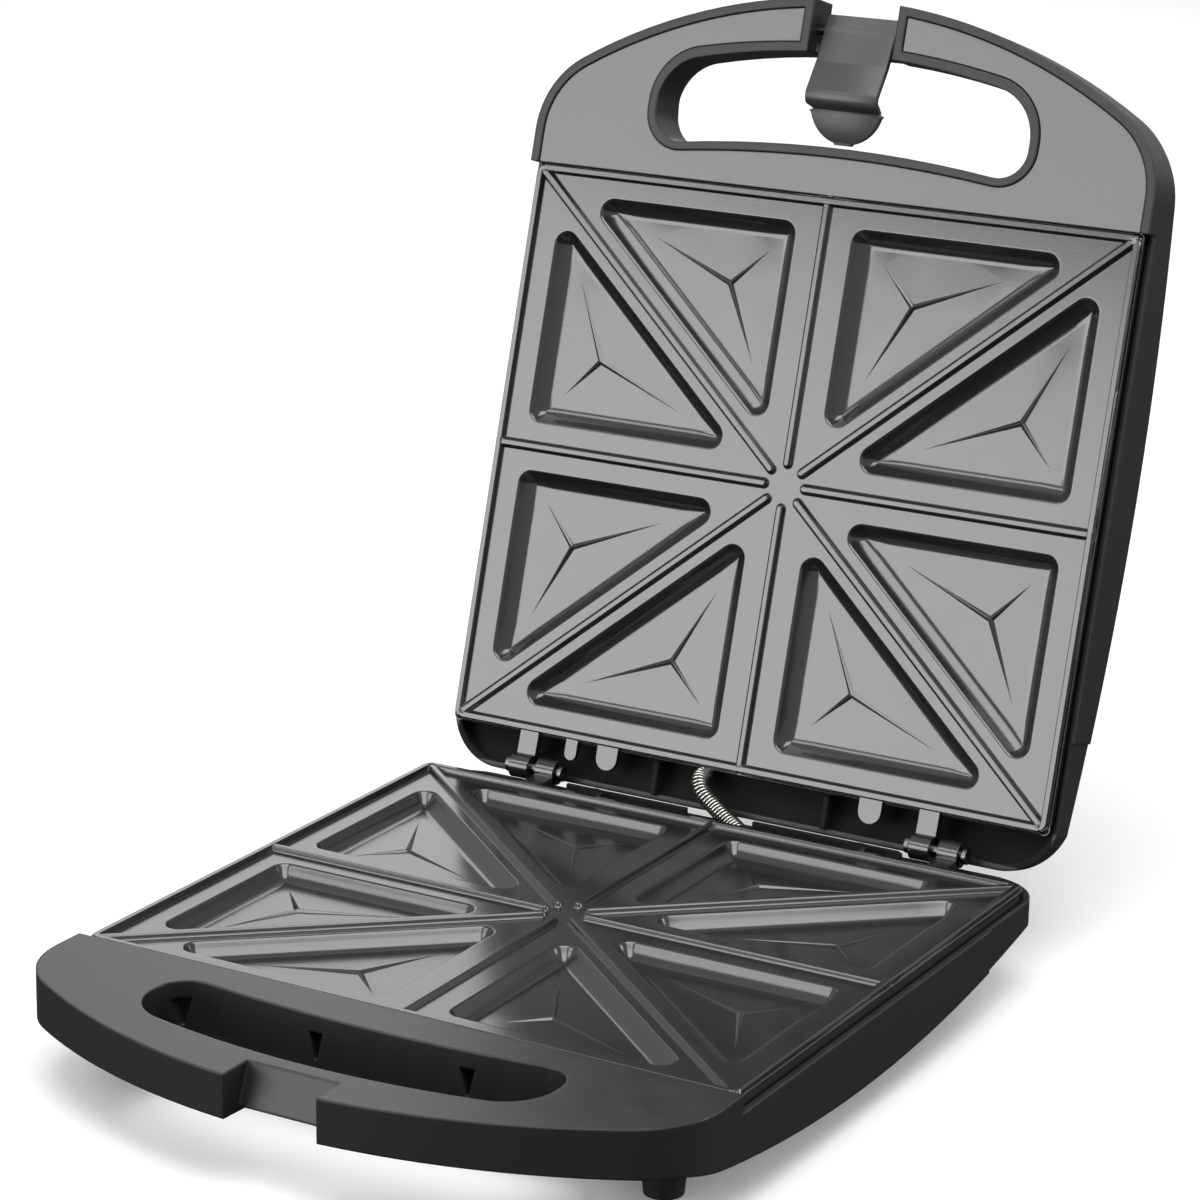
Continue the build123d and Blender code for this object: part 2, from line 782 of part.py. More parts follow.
with BuildPart() as lid_shell:
    add(housing_form(lid_half))
    add(body_hollow(lid_half), mode=Mode.SUBTRACT)
    add(wall_cut(lid_half), mode=Mode.SUBTRACT)
    add(handle_hollow(lid_half, rim_band + cover_ledge, 1.0, shell_wall), mode=Mode.SUBTRACT)
    # seat for the cover, open towards the plate
    with BuildSketch(lid_half.offset(-1)):
        add(handle_outline(rim_band, body_front + shell_wall + 1))
        add(finger_outline(rim_band), mode=Mode.SUBTRACT)
        with Locations((0, handle_front)):
            Rectangle(
                notch_width + 2 * rim_band,
                2 * (handle_reach - finger_far),
                mode=Mode.SUBTRACT,
            )
    extrude(amount=seat_depth + 1, mode=Mode.SUBTRACT)
    with BuildSketch(lid_half.offset(-1)):
        add(finger_outline(0))
    extrude(amount=shell_depth_middle + 2, mode=Mode.SUBTRACT)
    # the notch is open right through, but for a bridge on the finger side
    with BuildSketch(lid_half.offset(-1)):
        with Locations((0, handle_front)):
            Rectangle(
                notch_width,
                2 * (handle_reach - finger_far - finger_far_bow / 2 + bridge_wall),
            )
    extrude(amount=shell_depth_middle, mode=Mode.SUBTRACT)
    with BuildSketch(side_plane(lid_half)):
        bridge_back = -half_depth - finger_far - finger_far_bow
        Polygon(
            (bridge_back, bridge_stop[0]),
            (bridge_back - bridge_wall, bridge_stop[1]),
            (bridge_back - bridge_wall, shell_depth_front + 0.2),
            (bridge_back, shell_depth_front + 0.2),
            align=None,
        )
    extrude(amount=notch_width / 2 + 1, both=True)
    # blind seats for the latch pin in the two cheeks
    with BuildSketch(side_plane(lid_half)):
        with Locations((pin_y, latch_pin_depth)):
            Circle(latch_pin_radius + latch_fit)
    extrude(amount=notch_width / 2 + latch_pin_seat, both=True, mode=Mode.SUBTRACT)
    add(rear_ribs(lid_half))
    # posts for the plate screws, cover screws and lamp holes
    add(plate_bosses(lid_half))
    with BuildSketch(lid_half):
        with Locations(*boss_places):
            Circle(screw_radius + screw_fit)
    extrude(amount=shell_depth_middle + 2, mode=Mode.SUBTRACT)
    for place in boss_places:
        with BuildSketch(lid_half.offset(screw_seat(place))):
            with Locations(place):
                Circle(screw_head_radius + screw_fit)
        extrude(amount=shell_depth_middle, mode=Mode.SUBTRACT)
    with BuildSketch(lid_half.offset(seat_depth)):
        with Locations(*lamp_places.values()):
            Circle(lamp_radius + screw_fit)
    extrude(amount=shell_depth_middle + 2, mode=Mode.SUBTRACT)
    add(cover_posts(lid_half, cover_post_radius, cover_post_meet))
    with BuildSketch(lid_half.offset(cover_post_meet)):
        with Locations(*cover_screw_places):
            Circle(screw_radius + screw_fit)
    extrude(amount=shell_depth_middle, mode=Mode.SUBTRACT)
    for place in cover_screw_places:
        with BuildSketch(lid_half.offset(handle_screw_seat(place))):
            with Locations(place):
                Circle(screw_head_radius + screw_fit)
        extrude(amount=shell_depth_middle, mode=Mode.SUBTRACT)
save(lid_shell.part, "lid_shell")

with BuildPart() as lid_handle_cover:
    with BuildSketch(lid_half.offset(cover_recess)):
        add(handle_outline(rim_band + cover_gap, body_front - 0.2))
        add(finger_outline(rim_band + cover_gap), mode=Mode.SUBTRACT)
        with Locations((0, handle_front)):
            Rectangle(
                notch_width + 2 * (rim_band + cover_gap),
                2 * (handle_reach - finger_far),
                mode=Mode.SUBTRACT,
            )
    extrude(amount=cover_thickness)
    with BuildSketch(lid_half.offset(seat_depth)):
        with Locations(*cover_screw_places):
            Circle(cover_post_radius)
    extrude(amount=cover_post_meet - seat_depth)
    with BuildSketch(lid_half.offset(cover_post_meet)):
        with Locations(*cover_screw_places):
            Circle(screw_radius)
    extrude(amount=seat_depth + cover_bore_floor - cover_post_meet, mode=Mode.SUBTRACT)
save(lid_handle_cover.part, "lid_handle_cover")

with BuildPart() as handle_cover_screws:
    for place in cover_screw_places:
        seat = handle_screw_seat(place)
        with BuildSketch(lid_half.offset(seat)):
            with Locations(place):
                Circle(screw_head_radius)
        extrude(amount=screw_head_length)
        with BuildSketch(lid_half.offset(seat)):
            with Locations(place):
                Circle(screw_radius - screw_slack)
        extrude(amount=seat_depth + cover_screw_end - seat)
save(handle_cover_screws.part, "handle_cover_screws")

for name, (x, y) in lamp_places.items():
    with BuildPart() as lens:
        with BuildSketch(lid_half.offset(lamp_seat - lamp_flange)):
            with Locations((x, y)):
                Circle(lamp_radius + lamp_flange)
        extrude(amount=lamp_flange)
        with BuildSketch(lid_half.offset(lamp_seat)):
            with Locations((x, y)):
                Circle(lamp_radius)
        extrude(amount=belly_depth(y) + lamp_proud - lamp_seat)
        fillet(lens.faces().sort_by(Axis(lid_half.origin, lid_half.z_dir))[-1].edges(), radius=0.7)
    save(lens.part, name)

with BuildPart() as lamp_holder:
    holder_face = lamp_seat - lamp_flange - lamp_holder_gap
    with BuildSketch(lid_half.offset(holder_face - lamp_holder_height)):
        with Locations((0, lamp_y)):
            RectangleRounded(
                2 * (lamp_spread + lamp_holder_end),
                lamp_holder_width,
                lamp_holder_corner,
            )
    extrude(amount=lamp_holder_height)
    with BuildSketch(lid_half.offset(holder_face)):
        with Locations(*lamp_places.values()):
            Circle(lamp_socket_radius)
    extrude(amount=lamp_holder_floor - lamp_holder_height, mode=Mode.SUBTRACT)
save(lamp_holder.part, "lamp_holder")

# ---- latch and its pin ---------------------------------------------------------

with BuildPart() as latch_pin:
    with BuildSketch(side_plane(lid_half)):
        with Locations((pin_y, latch_pin_depth)):
            Circle(latch_pin_radius)
    extrude(amount=notch_width / 2 + latch_pin_seat - 0.3, both=True)
save(latch_pin.part, "latch_pin")

# Profile points from the pivot: back, and away from the plates.
latch_face = [
    (-6.3, 0.6),
    (-6.3, -2.0),
    (12.0, -8.0),
    (23.6, -12.2),
    (27.4, -12.2),
    (29.6, -6.4),
    (42.4, -4.6),
]
latch_back = [(42.4, -1.8), (27.0, -3.6), (24.0, -9.0), (12.8, -4.9), (3.0, -1.2)]
tab_start = 30.0

with BuildPart() as latch:
    with BuildSketch(side_plane(lid_half)):
        with Locations((pin_y, latch_pin_depth)):
            Polygon(*latch_face, *latch_back, (0, 1.5), align=None)
            Circle(latch_hub_radius)
    extrude(amount=latch_width / 2, both=True)
    # the thumb tab is rounded in plan
    with BuildSketch(lid_half.offset(-10)):
        with Locations((0, pin_y + tab_start + 2)):
            Rectangle(2 * latch_width, 40, align=(Align.CENTER, Align.MIN))
        with BuildLine():
            tip = pin_y + latch_face[-1][0]
            start = pin_y + tab_start
            Line((-latch_width / 2, start), (latch_width / 2, start))
            ThreePointArc((latch_width / 2, start), (0, tip), (-latch_width / 2, start))
        make_face(mode=Mode.SUBTRACT)
    extrude(amount=40, mode=Mode.SUBTRACT)
    with BuildSketch(side_plane(lid_half)):
        with Locations((pin_y, latch_pin_depth)):
            Circle(latch_pin_radius + latch_fit)
    extrude(amount=latch_width, both=True, mode=Mode.SUBTRACT)
save(latch.part, "latch")

# ---- heaters, clamps and heat shields --------------------------------------------


def heating_element(half):
    """Tube heater: one loop under the pockets, its two ends at the hinge side."""
    with BuildPart() as tube:
        with BuildLine(half.offset(element_depth)) as path:
            FilletPolyline(
                (-element_end_x, element_y + element_tail),
                (-element_end_x, element_y),
                (-element_x, element_y),
                (-element_x, -element_y),
                (element_x, -element_y),
                (element_x, element_y),
                (element_end_x, element_y),
                (element_end_x, element_y + element_tail),
                radius=(element_end_bend, *[element_bend] * 4, element_end_bend),
            )
        with BuildSketch(Plane(origin=path.line @ 0, z_dir=path.line % 0)):
            Circle(element_radius)
        sweep()
    return tube.part


def element_clamp(half, x, y):
    """Bent strip that straddles the heater and sits on the plate's underside."""
    inner = clamp_inner
    outer = inner + clamp_sheet
    reach = outer + clamp_flange
    top = under_depth
    with BuildPart() as clamp:
        plane = Plane(
            origin=half.from_local_coords((x, y - clamp_length / 2, 0)),
            x_dir=half.x_dir,
            z_dir=half.y_dir,
        )
        depth = element_depth + inner
        with BuildSketch(plane):
            Polygon(
                (-reach, -top),
                (-inner, -top),
                (-inner, -depth),
                (inner, -depth),
                (inner, -top),
                (reach, -top),
                (reach, -top - clamp_sheet),
                (outer, -top - clamp_sheet),
                (outer, -depth - clamp_sheet),
                (-outer, -depth - clamp_sheet),
                (-outer, -top - clamp_sheet),
                (-reach, -top - clamp_sheet),
                align=None,
            )
        extrude(amount=clamp_length)
    return clamp.part


def heat_shield(half):
    """Thin tray under the heater that turns the heat back to the plate."""
    with BuildPart() as tray:
        with BuildSketch(half.offset(shield_depth)):
            with Locations((0, (shield_back - shield_front) / 2)):
                RectangleRounded(2 * shield_x, shield_back + shield_front, shield_corner)
        extrude(amount=shield_sheet)
        with BuildSketch(half.offset(shield_depth - shield_rim)):
            with Locations((0, (shield_back - shield_front) / 2)):
                RectangleRounded(2 * shield_x, shield_back + shield_front, shield_corner)
                RectangleRounded(
                    2 * (shield_x - shield_sheet),
                    shield_back + shield_front - 2 * shield_sheet,
                    shield_corner - shield_sheet,
                    mode=Mode.SUBTRACT,
                )
        extrude(amount=shield_rim)
    return tray.part


def plate_screws(half):
    """Four screws from the housing's outside into the plate's studs."""
    with BuildPart() as screws:
        for place in boss_places:
            seat = screw_seat(place)
            with BuildSketch(half.offset(seat)):
                with Locations(place):
                    Circle(screw_head_radius)
            extrude(amount=screw_head_length)
            with BuildSketch(half.offset(seat)):
                with Locations(place):
                    Circle(screw_radius - screw_slack)
            extrude(amount=stud_depth - screw_reach + screw_tip - seat)
    return screws.part


clamp_places = [(sx * element_x, sy * half_depth / 3) for sx in (-1, 1) for sy in (-1, 1)]
for prefix, half in (("lower", base_half), ("upper", lid_half)):
    save(heating_element(half), f"{prefix}_heating_element")
    save(heat_shield(half), f"{prefix}_heat_shield")
    save(plate_screws(half), f"{prefix}_plate_screws")
    for number, (x, y) in enumerate(clamp_places, start=1):
        save(element_clamp(half, x, y), f"{prefix}_element_clamp_{number}")


# ---- thermostat and thermal fuse, on the upper plate's back ----------------------

with BuildPart() as thermostat:
    with BuildSketch(lid_half.offset(under_depth)):
        with Locations((thermostat_x, thermostat_y)):
            RectangleRounded(*thermostat_plate)
    extrude(amount=thermostat_foot)
    with BuildSketch(lid_half.offset(under_depth + thermostat_foot)):
        with Locations((thermostat_x, thermostat_y)):
            Circle(thermostat_radius)
    extrude(amount=thermostat_height)
    with BuildSketch(lid_half.offset(under_depth + thermostat_foot + thermostat_height)):
        with Locations((thermostat_x, thermostat_y - thermostat_tab_at[1])):
            with GridLocations(2 * thermostat_tab_at[0], 1, 2, 1):
                Rectangle(thermostat_tab[0], thermostat_tab[1])
    extrude(amount=thermostat_tab[2])
save(thermostat.part, "thermostat")

with BuildPart() as thermal_fuse:
    for radius, reach in (
        (fuse_radius, fuse_length / 2),
        (fuse_wire_radius, fuse_length / 2 + fuse_wire_end),
    ):
        with BuildSketch(side_plane(lid_half, fuse_x)):
            with Locations((fuse_y, under_depth + fuse_radius + fuse_gap)):
                Circle(radius)
        extrude(amount=reach, both=True)
save(thermal_fuse.part, "thermal_fuse")

# ---- terminal block in the base --------------------------------------------------

with BuildPart() as terminal_block:
    with BuildSketch(base_half.offset(block_depth)):
        with Locations((-inlet_x, block_y)):
            Rectangle(block_width, block_length)
    extrude(amount=block_height)
    with BuildSketch(Plane.XZ.offset(-block_y - block_length / 2)):
        with Locations((inlet_x, parting_height - block_depth - block_height / 2)):
            with GridLocations(block_pitch, 1, 3, 1):
                Circle(block_bore)
    extrude(amount=block_length, mode=Mode.SUBTRACT)
save(terminal_block.part, "terminal_block")

# ---- lead guard: a coil round the leads that cross the hinge -----------------------

guard_route = [
    lid_half.from_local_coords((guard_exit_x + 9.5, half_depth - 9.7, guard_depth + 0.8)),
    lid_half.from_local_coords((guard_exit_x + 3.5, half_depth - 4.7, guard_depth + 0.4)),
    lid_half.from_local_coords((guard_exit_x, half_depth + 1.3, guard_depth - 0.6)),
    Vector(guard_exit_x + 1.5, hinge_y + 3.8, parting_height + 5.0),
    Vector(-5.0, hinge_y - 1.2, parting_height - 1.2),
    Vector(7.5, hinge_y - 6.4, parting_height - 6.6),
    base_half.from_local_coords((guard_exit_x + 1.5, half_depth + 0.3, guard_depth)),
    base_half.from_local_coords((guard_exit_x + 3.0, half_depth - 5.7, guard_depth + 0.5)),
    base_half.from_local_coords((guard_exit_x + 9.5, half_depth - 9.7, guard_depth + 0.8)),
]


def route_tube(outer, inner):
    """A tube along the guard's route, solid where inner is zero."""
    with BuildPart() as tube:
        with BuildLine() as path:
            Spline(*guard_route)
        with BuildSketch(Plane(origin=path.line @ 0, z_dir=path.line % 0)):
            Circle(outer)
            if inner:
                Circle(inner, mode=Mode.SUBTRACT)
        sweep()
    return tube.part


save(route_tube(guard_radius, guard_bore), "lead_guard_spring")
save(route_tube(lead_radius, 0), "lead_bundle")
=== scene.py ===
import json
import math

import bmesh
import bpy
from mathutils import Matrix, Vector
from mathutils.geometry import delaunay_2d_cdt


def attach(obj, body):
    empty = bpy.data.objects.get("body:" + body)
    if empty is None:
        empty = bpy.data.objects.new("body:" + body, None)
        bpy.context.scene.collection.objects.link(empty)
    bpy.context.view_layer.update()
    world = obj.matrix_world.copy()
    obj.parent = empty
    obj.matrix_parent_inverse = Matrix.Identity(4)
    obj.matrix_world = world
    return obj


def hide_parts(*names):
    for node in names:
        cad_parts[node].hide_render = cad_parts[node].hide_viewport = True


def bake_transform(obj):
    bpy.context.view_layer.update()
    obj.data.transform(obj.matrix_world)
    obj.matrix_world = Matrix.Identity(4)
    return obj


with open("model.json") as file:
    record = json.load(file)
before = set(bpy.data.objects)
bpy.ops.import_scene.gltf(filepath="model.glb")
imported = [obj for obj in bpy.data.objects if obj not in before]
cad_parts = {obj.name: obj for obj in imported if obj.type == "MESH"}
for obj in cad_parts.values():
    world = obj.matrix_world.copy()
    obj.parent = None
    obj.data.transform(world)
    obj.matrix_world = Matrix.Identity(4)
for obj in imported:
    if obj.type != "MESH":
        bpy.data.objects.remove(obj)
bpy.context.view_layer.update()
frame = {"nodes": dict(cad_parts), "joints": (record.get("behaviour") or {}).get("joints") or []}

# ---- Where it stands: camera, floor and light --------------------------------
# The toaster stands open on a pale floor, seen from its front right side and a
# little above. A big soft box hangs over it, two stand at its front left, one
# behind it at the left and one at its right.

camera_azimuth = math.radians(29.75)
camera_elevation = math.radians(16.6)
camera_roll = math.radians(0.91)
camera_place = Vector((0.650, -1.1167, 0.538))

camera = bpy.data.cameras.new("camera")
camera.sensor_width = 36.0
camera.lens = 119.2
camera_object = bpy.data.objects.new("camera", camera)
bpy.context.scene.collection.objects.link(camera_object)
backward = Vector((
    math.sin(camera_azimuth) * math.cos(camera_elevation),
    -math.cos(camera_azimuth) * math.cos(camera_elevation),
    math.sin(camera_elevation),
))
level = Vector((math.cos(camera_azimuth), math.sin(camera_azimuth), 0))
upright = backward.cross(level)
across = level * math.cos(camera_roll) + upright * math.sin(camera_roll)
upward = backward.cross(across)
turn = Matrix((across, upward, backward)).transposed().to_4x4()
camera_object.matrix_world = Matrix.Translation(camera_place) @ turn
bpy.context.scene.camera = camera_object


def new_material(name):
    """An empty material with its Principled shader, and the two makers used to fill it."""
    material = bpy.data.materials.new(name)
    material.use_nodes = True
    tree = material.node_tree
    shader = tree.nodes["Principled BSDF"]

    def node(kind, **settings):
        made = tree.nodes.new(kind)
        for key, value in settings.items():
            setattr(made, key, value)
        return made

    return material, tree, shader, node


floor_half = 9.0
floor_mesh = bpy.data.meshes.new("floor")
floor_corners = [(x * floor_half, y * floor_half, 0) for x, y in ((-1, -1), (1, -1), (1, 1), (-1, 1))]
floor_mesh.from_pydata(floor_corners, [], [(0, 1, 2, 3)])
floor = bpy.data.objects.new("floor", floor_mesh)
bpy.context.scene.collection.objects.link(floor)
floor_material, tree, shader, node = new_material("pale_floor")
shader.inputs["Base Color"].default_value = (0.90, 0.90, 0.90, 1)
shader.inputs["Roughness"].default_value = 0.85
shader.inputs["Specular IOR Level"].default_value = 0.1
shader.inputs["Emission Color"].default_value = (1, 1, 1, 1)
shader.inputs["Emission Strength"].default_value = 0.12
# The paper sweep only fills the view: what the gloss of the toaster finds below the
# horizon is the dim studio round it.
dim_floor = node("ShaderNodeBsdfDiffuse")
dim_floor.inputs["Color"].default_value = (0.05, 0.05, 0.05, 1)
rays = node("ShaderNodeLightPath")
sweep = node("ShaderNodeMixShader")
tree.links.new(rays.outputs["Is Camera Ray"], sweep.inputs["Fac"])
tree.links.new(dim_floor.outputs[0], sweep.inputs[1])
tree.links.new(shader.outputs[0], sweep.inputs[2])
tree.links.new(sweep.outputs[0], tree.nodes["Material Output"].inputs["Surface"])
floor_mesh.materials.append(floor_material)

world = bpy.data.worlds.new("studio")
world.use_nodes = True
world.node_tree.nodes["Background"].inputs["Color"].default_value = (0.96, 0.97, 1.0, 1)
world.node_tree.nodes["Background"].inputs["Strength"].default_value = 0.55
bpy.context.scene.world = world
bpy.context.scene.view_settings.view_transform = "Standard"


def soft_box(name, place, aim, width, height, power):
    """A rectangular soft box at place, turned to face aim."""
    light = bpy.data.lights.new(name, "AREA")
    light.shape = "RECTANGLE"
    light.size = width
    light.size_y = height
    light.energy = power
    box = bpy.data.objects.new(name, light)
    bpy.context.scene.collection.objects.link(box)
    facing = (Vector(aim) - Vector(place)).to_track_quat("-Z", "Y")
    box.matrix_world = Matrix.Translation(Vector(place)) @ facing.to_matrix().to_4x4()


for name, place, aim, width, height, power in (
    ("overhead_box", (0.5, -0.7, 2.4), (0, 0, 0.1), 2.0, 2.0, 48.0),
    ("front_left_box", (-1.15, -1.75, 0.44), (0, 0.16, 0.17), 1.5, 1.1, 21.5),
    ("front_left_high_box", (-1.05, -1.35, 1.75), (0, 0.2, 0.33), 1.3, 0.7, 9.0),
    ("back_left_box", (-1.3, 2.2, 1.0), (-0.08, 0, 0.04), 1.3, 1.3, 7.2),
    ("right_box", (2.1, 1.1, 0.7), (0, 0.1, 0.15), 0.9, 1.6, 22.0),
):
    soft_box(name, place, aim, width, height, power)

# ---- Surface effects that several materials share ------------------------------
# Moulded plastic and coated metal both carry a fine grain, slight patches of
# sheen, dust on what faces up and a rubbed look along their edges.


def group_socket(group, name, kind, direction, value=None):
    """Adds one named socket to a node group."""
    socket = group.interface.new_socket(name=name, in_out=direction, socket_type=kind)
    if value is not None:
        socket.default_value = value
    return socket


surface = bpy.data.node_groups.new("worked_surface", "ShaderNodeTree")
for name, kind, value in (
    ("Colour", "NodeSocketColor", (0.1, 0.1, 0.1, 1)),
    ("Rubbed Colour", "NodeSocketColor", (0.2, 0.2, 0.2, 1)),
    ("Roughness", "NodeSocketFloat", 0.4),
    ("Grain Scale", "NodeSocketFloat", 1500.0),
    ("Grain Height", "NodeSocketFloat", 0.1),
    ("Edge Radius", "NodeSocketFloat", 0.0005),
    ("Rubbed Amount", "NodeSocketFloat", 0.4),
    ("Dust Amount", "NodeSocketFloat", 0.05),
    ("Patch Amount", "NodeSocketFloat", 0.06),
):
    group_socket(surface, name, kind, "INPUT", value)
for name, kind in (
    ("Colour", "NodeSocketColor"),
    ("Roughness", "NodeSocketFloat"),
    ("Normal", "NodeSocketVector"),
):
    group_socket(surface, name, kind, "OUTPUT")

nodes, links = surface.nodes, surface.links
given = nodes.new("NodeGroupInput")
result = nodes.new("NodeGroupOutput")
where = nodes.new("ShaderNodeTexCoord")


def surface_math(operation, first, second, clamp=False):
    """One Math node of the shared surface group; its inputs are sockets or numbers."""
    made = nodes.new("ShaderNodeMath")
    made.operation = operation
    made.use_clamp = clamp
    for socket, value in zip(made.inputs, (first, second)):
        if isinstance(value, (int, float)):
            socket.default_value = value
        else:
            links.new(value, socket)
    return made.outputs[0]


def surface_noise(scale, detail):
    """A noise over the piece's own coordinates."""
    made = nodes.new("ShaderNodeTexNoise")
    made.inputs["Detail"].default_value = detail
    links.new(where.outputs["Object"], made.inputs["Vector"])
    if isinstance(scale, (int, float)):
        made.inputs["Scale"].default_value = scale
    else:
        links.new(scale, made.inputs["Scale"])
    return made.outputs["Fac"]


patch_scale, smudge_scale = 22.0, 70.0
patches = surface_noise(patch_scale, 3.0)
smudges = surface_noise(smudge_scale, 5.0)
grain = surface_noise(given.outputs["Grain Scale"], 2.0)

rounded = nodes.new("ShaderNodeBevel")
rounded.samples = 6
links.new(given.outputs["Edge Radius"], rounded.inputs["Radius"])
plain = nodes.new("ShaderNodeNewGeometry")
agree = nodes.new("ShaderNodeVectorMath")
agree.operation = "DOT_PRODUCT"
links.new(rounded.outputs["Normal"], agree.inputs[0])
links.new(plain.outputs["Normal"], agree.inputs[1])
edge_starts, edge_gain, smudge_gain = 0.985, 9.0, 1.6
bent = surface_math("SUBTRACT", edge_starts, agree.outputs["Value"], True)
edge = surface_math("MULTIPLY", bent, edge_gain, True)
broken_edge = surface_math("MULTIPLY", edge, surface_math("MULTIPLY", smudges, smudge_gain, True), True)
edge_share = surface_math("MULTIPLY", broken_edge, given.outputs["Rubbed Amount"], True)

facing = nodes.new("ShaderNodeSeparateXYZ")
links.new(plain.outputs["Normal"], facing.inputs[0])
dust_starts = 0.35
dust_colour = (0.55, 0.53, 0.5, 1)
settled = surface_math("SUBTRACT", smudges, dust_starts, True)
dust = surface_math("MULTIPLY", facing.outputs["Z"], settled, True)
dust_share = surface_math("MULTIPLY", dust, given.outputs["Dust Amount"], True)

rubbed = nodes.new("ShaderNodeMix")
rubbed.data_type = "RGBA"
links.new(edge_share, rubbed.inputs["Factor"])
links.new(given.outputs["Colour"], rubbed.inputs["A"])
links.new(given.outputs["Rubbed Colour"], rubbed.inputs["B"])
dusted = nodes.new("ShaderNodeMix")
dusted.data_type = "RGBA"
dusted.inputs["B"].default_value = dust_colour
links.new(dust_share, dusted.inputs["Factor"])
links.new(rubbed.outputs["Result"], dusted.inputs["A"])
shade = nodes.new("ShaderNodeHueSaturation")
links.new(dusted.outputs["Result"], shade.inputs["Color"])
lift = surface_math("MULTIPLY", surface_math("SUBTRACT", patches, 0.5), given.outputs["Patch Amount"])
links.new(surface_math("ADD", lift, 1.0), shade.inputs["Value"])
links.new(shade.outputs["Color"], result.inputs["Colour"])

mottle = surface_math("MULTIPLY", surface_math("SUBTRACT", smudges, 0.5), given.outputs["Patch Amount"])
sheen = surface_math("ADD", given.outputs["Roughness"], mottle, True)
dulled = surface_math("MULTIPLY", dust_share, 0.5)
links.new(surface_math("ADD", sheen, dulled, True), result.inputs["Roughness"])

grain_depth = 0.0002
bump = nodes.new("ShaderNodeBump")
bump.inputs["Distance"].default_value = grain_depth
links.new(given.outputs["Grain Height"], bump.inputs["Strength"])
links.new(grain, bump.inputs["Height"])
links.new(rounded.outputs["Normal"], bump.inputs["Normal"])
links.new(bump.outputs["Normal"], result.inputs["Normal"])


def worked_finish(
    name, colour, roughness, rubbed=None, grain_scale=1500.0, grain_height=0.1, edge_radius=0.0005,
    rubbed_amount=0.4, dust=0.05, patches=0.06, metallic=0.0, specular=0.5,
):
    """A material whose colour, roughness and normal come from the shared surface group."""
    material, tree, shader, node = new_material(name)
    worked = node("ShaderNodeGroup", node_tree=surface)
    for key, value in (
        ("Colour", (*colour, 1)),
        ("Rubbed Colour", (*(rubbed or [min(1, 2.2 * c + 0.02) for c in colour]), 1)),
        ("Roughness", roughness),
        ("Grain Scale", grain_scale),
        ("Grain Height", grain_height),
        ("Edge Radius", edge_radius),
        ("Rubbed Amount", rubbed_amount),
        ("Dust Amount", dust),
        ("Patch Amount", patches),
    ):
        worked.inputs[key].default_value = value
    tree.links.new(worked.outputs["Colour"], shader.inputs["Base Color"])
    tree.links.new(worked.outputs["Roughness"], shader.inputs["Roughness"])
    tree.links.new(worked.outputs["Normal"], shader.inputs["Normal"])
    shader.inputs["Metallic"].default_value = metallic
    shader.inputs["Specular IOR Level"].default_value = specular
    return material


def dress(names, material):
    """Gives CAD nodes one finish."""
    for name in names:
        mesh = frame["nodes"][name].data
        mesh.materials.clear()
        mesh.materials.append(material)


# ---- Cooking plates --------------------------------------------------------------
# Two alike die-cast aluminium plates with a glossy dark non-stick coat. Each has
# eight triangular pockets with a raised star on the floor, ridges between them
# and a bead round its edge. Cast lugs at the back take the hinge pins.

plate_width = 0.250
plate_depth = 0.2164
plate_corner = 0.004
rim_top = 0.0003
rim_width = 0.0034
land = 0.0024
skirt = 0.0080
plate_wall = 0.0026
ridge_foot = 0.0021
ridge_flat = 0.0008
ridge_top = 0.0005
ridge_stop = 0.0085
pocket_fall = 0.0052
pocket_slope = 0.0064
pocket_corner = 0.0050
pocket_lip = 0.0004
edge_x = 0.0122
edge_y = 0.0104
from_x_ridge = 0.0096
from_y_ridge = 0.0120
from_diagonal = 0.0063
star_height = 0.0009
star_half_width = 0.0011
half_x = plate_width / 2
half_y = plate_depth / 2
slant = math.hypot(half_x, half_y)
along = (half_x / slant, half_y / slant)


def crossing(p, u, q, v):
    """Where the line through p along u meets the line through q along v."""
    k = ((q[0] - p[0]) * v[1] - (q[1] - p[1]) * v[0]) / (u[0] * v[1] - u[1] * v[0])
    return (p[0] + u[0] * k, p[1] + u[1] * k)


def pocket_corners(kind, inset):
    """The three corners of a pocket in the first quarter, its sides moved in by inset."""
    away = from_diagonal + inset
    if kind == "side":
        lines = [
            ((along[1] * away, -along[0] * away), along),
            ((half_x - edge_x - inset, 0), (0, 1)),
            ((0, from_x_ridge + inset), (1, 0)),
        ]
    else:
        lines = [
            ((-along[1] * away, along[0] * away), along),
            ((0, half_y - edge_y - inset), (1, 0)),
            ((from_y_ridge + inset, 0), (0, 1)),
        ]
    return [crossing(*lines[i], *lines[(i + 1) % 3]) for i in range(3)]


def turning(corners):
    """Twice a polygon's area, positive where its corners run anticlockwise."""
    return sum(ax * by - bx * ay for (ax, ay), (bx, by) in zip(corners, corners[1:] + corners[:1]))


def polygon_distance(x, y, corners):
    """Distance from a polygon's edge, negative inside it."""
    nearest = 1.0
    inside = True
    area = turning(corners)
    for i, (ax, ay) in enumerate(corners):
        bx, by = corners[(i + 1) % len(corners)]
        dx, dy = bx - ax, by - ay
        t = max(0.0, min(1.0, ((x - ax) * dx + (y - ay) * dy) / (dx * dx + dy * dy)))
        nearest = min(nearest, math.hypot(x - ax - t * dx, y - ay - t * dy))
        if (dx * (y - ay) - dy * (x - ax)) * area < 0:
            inside = False
    return -nearest if inside else nearest


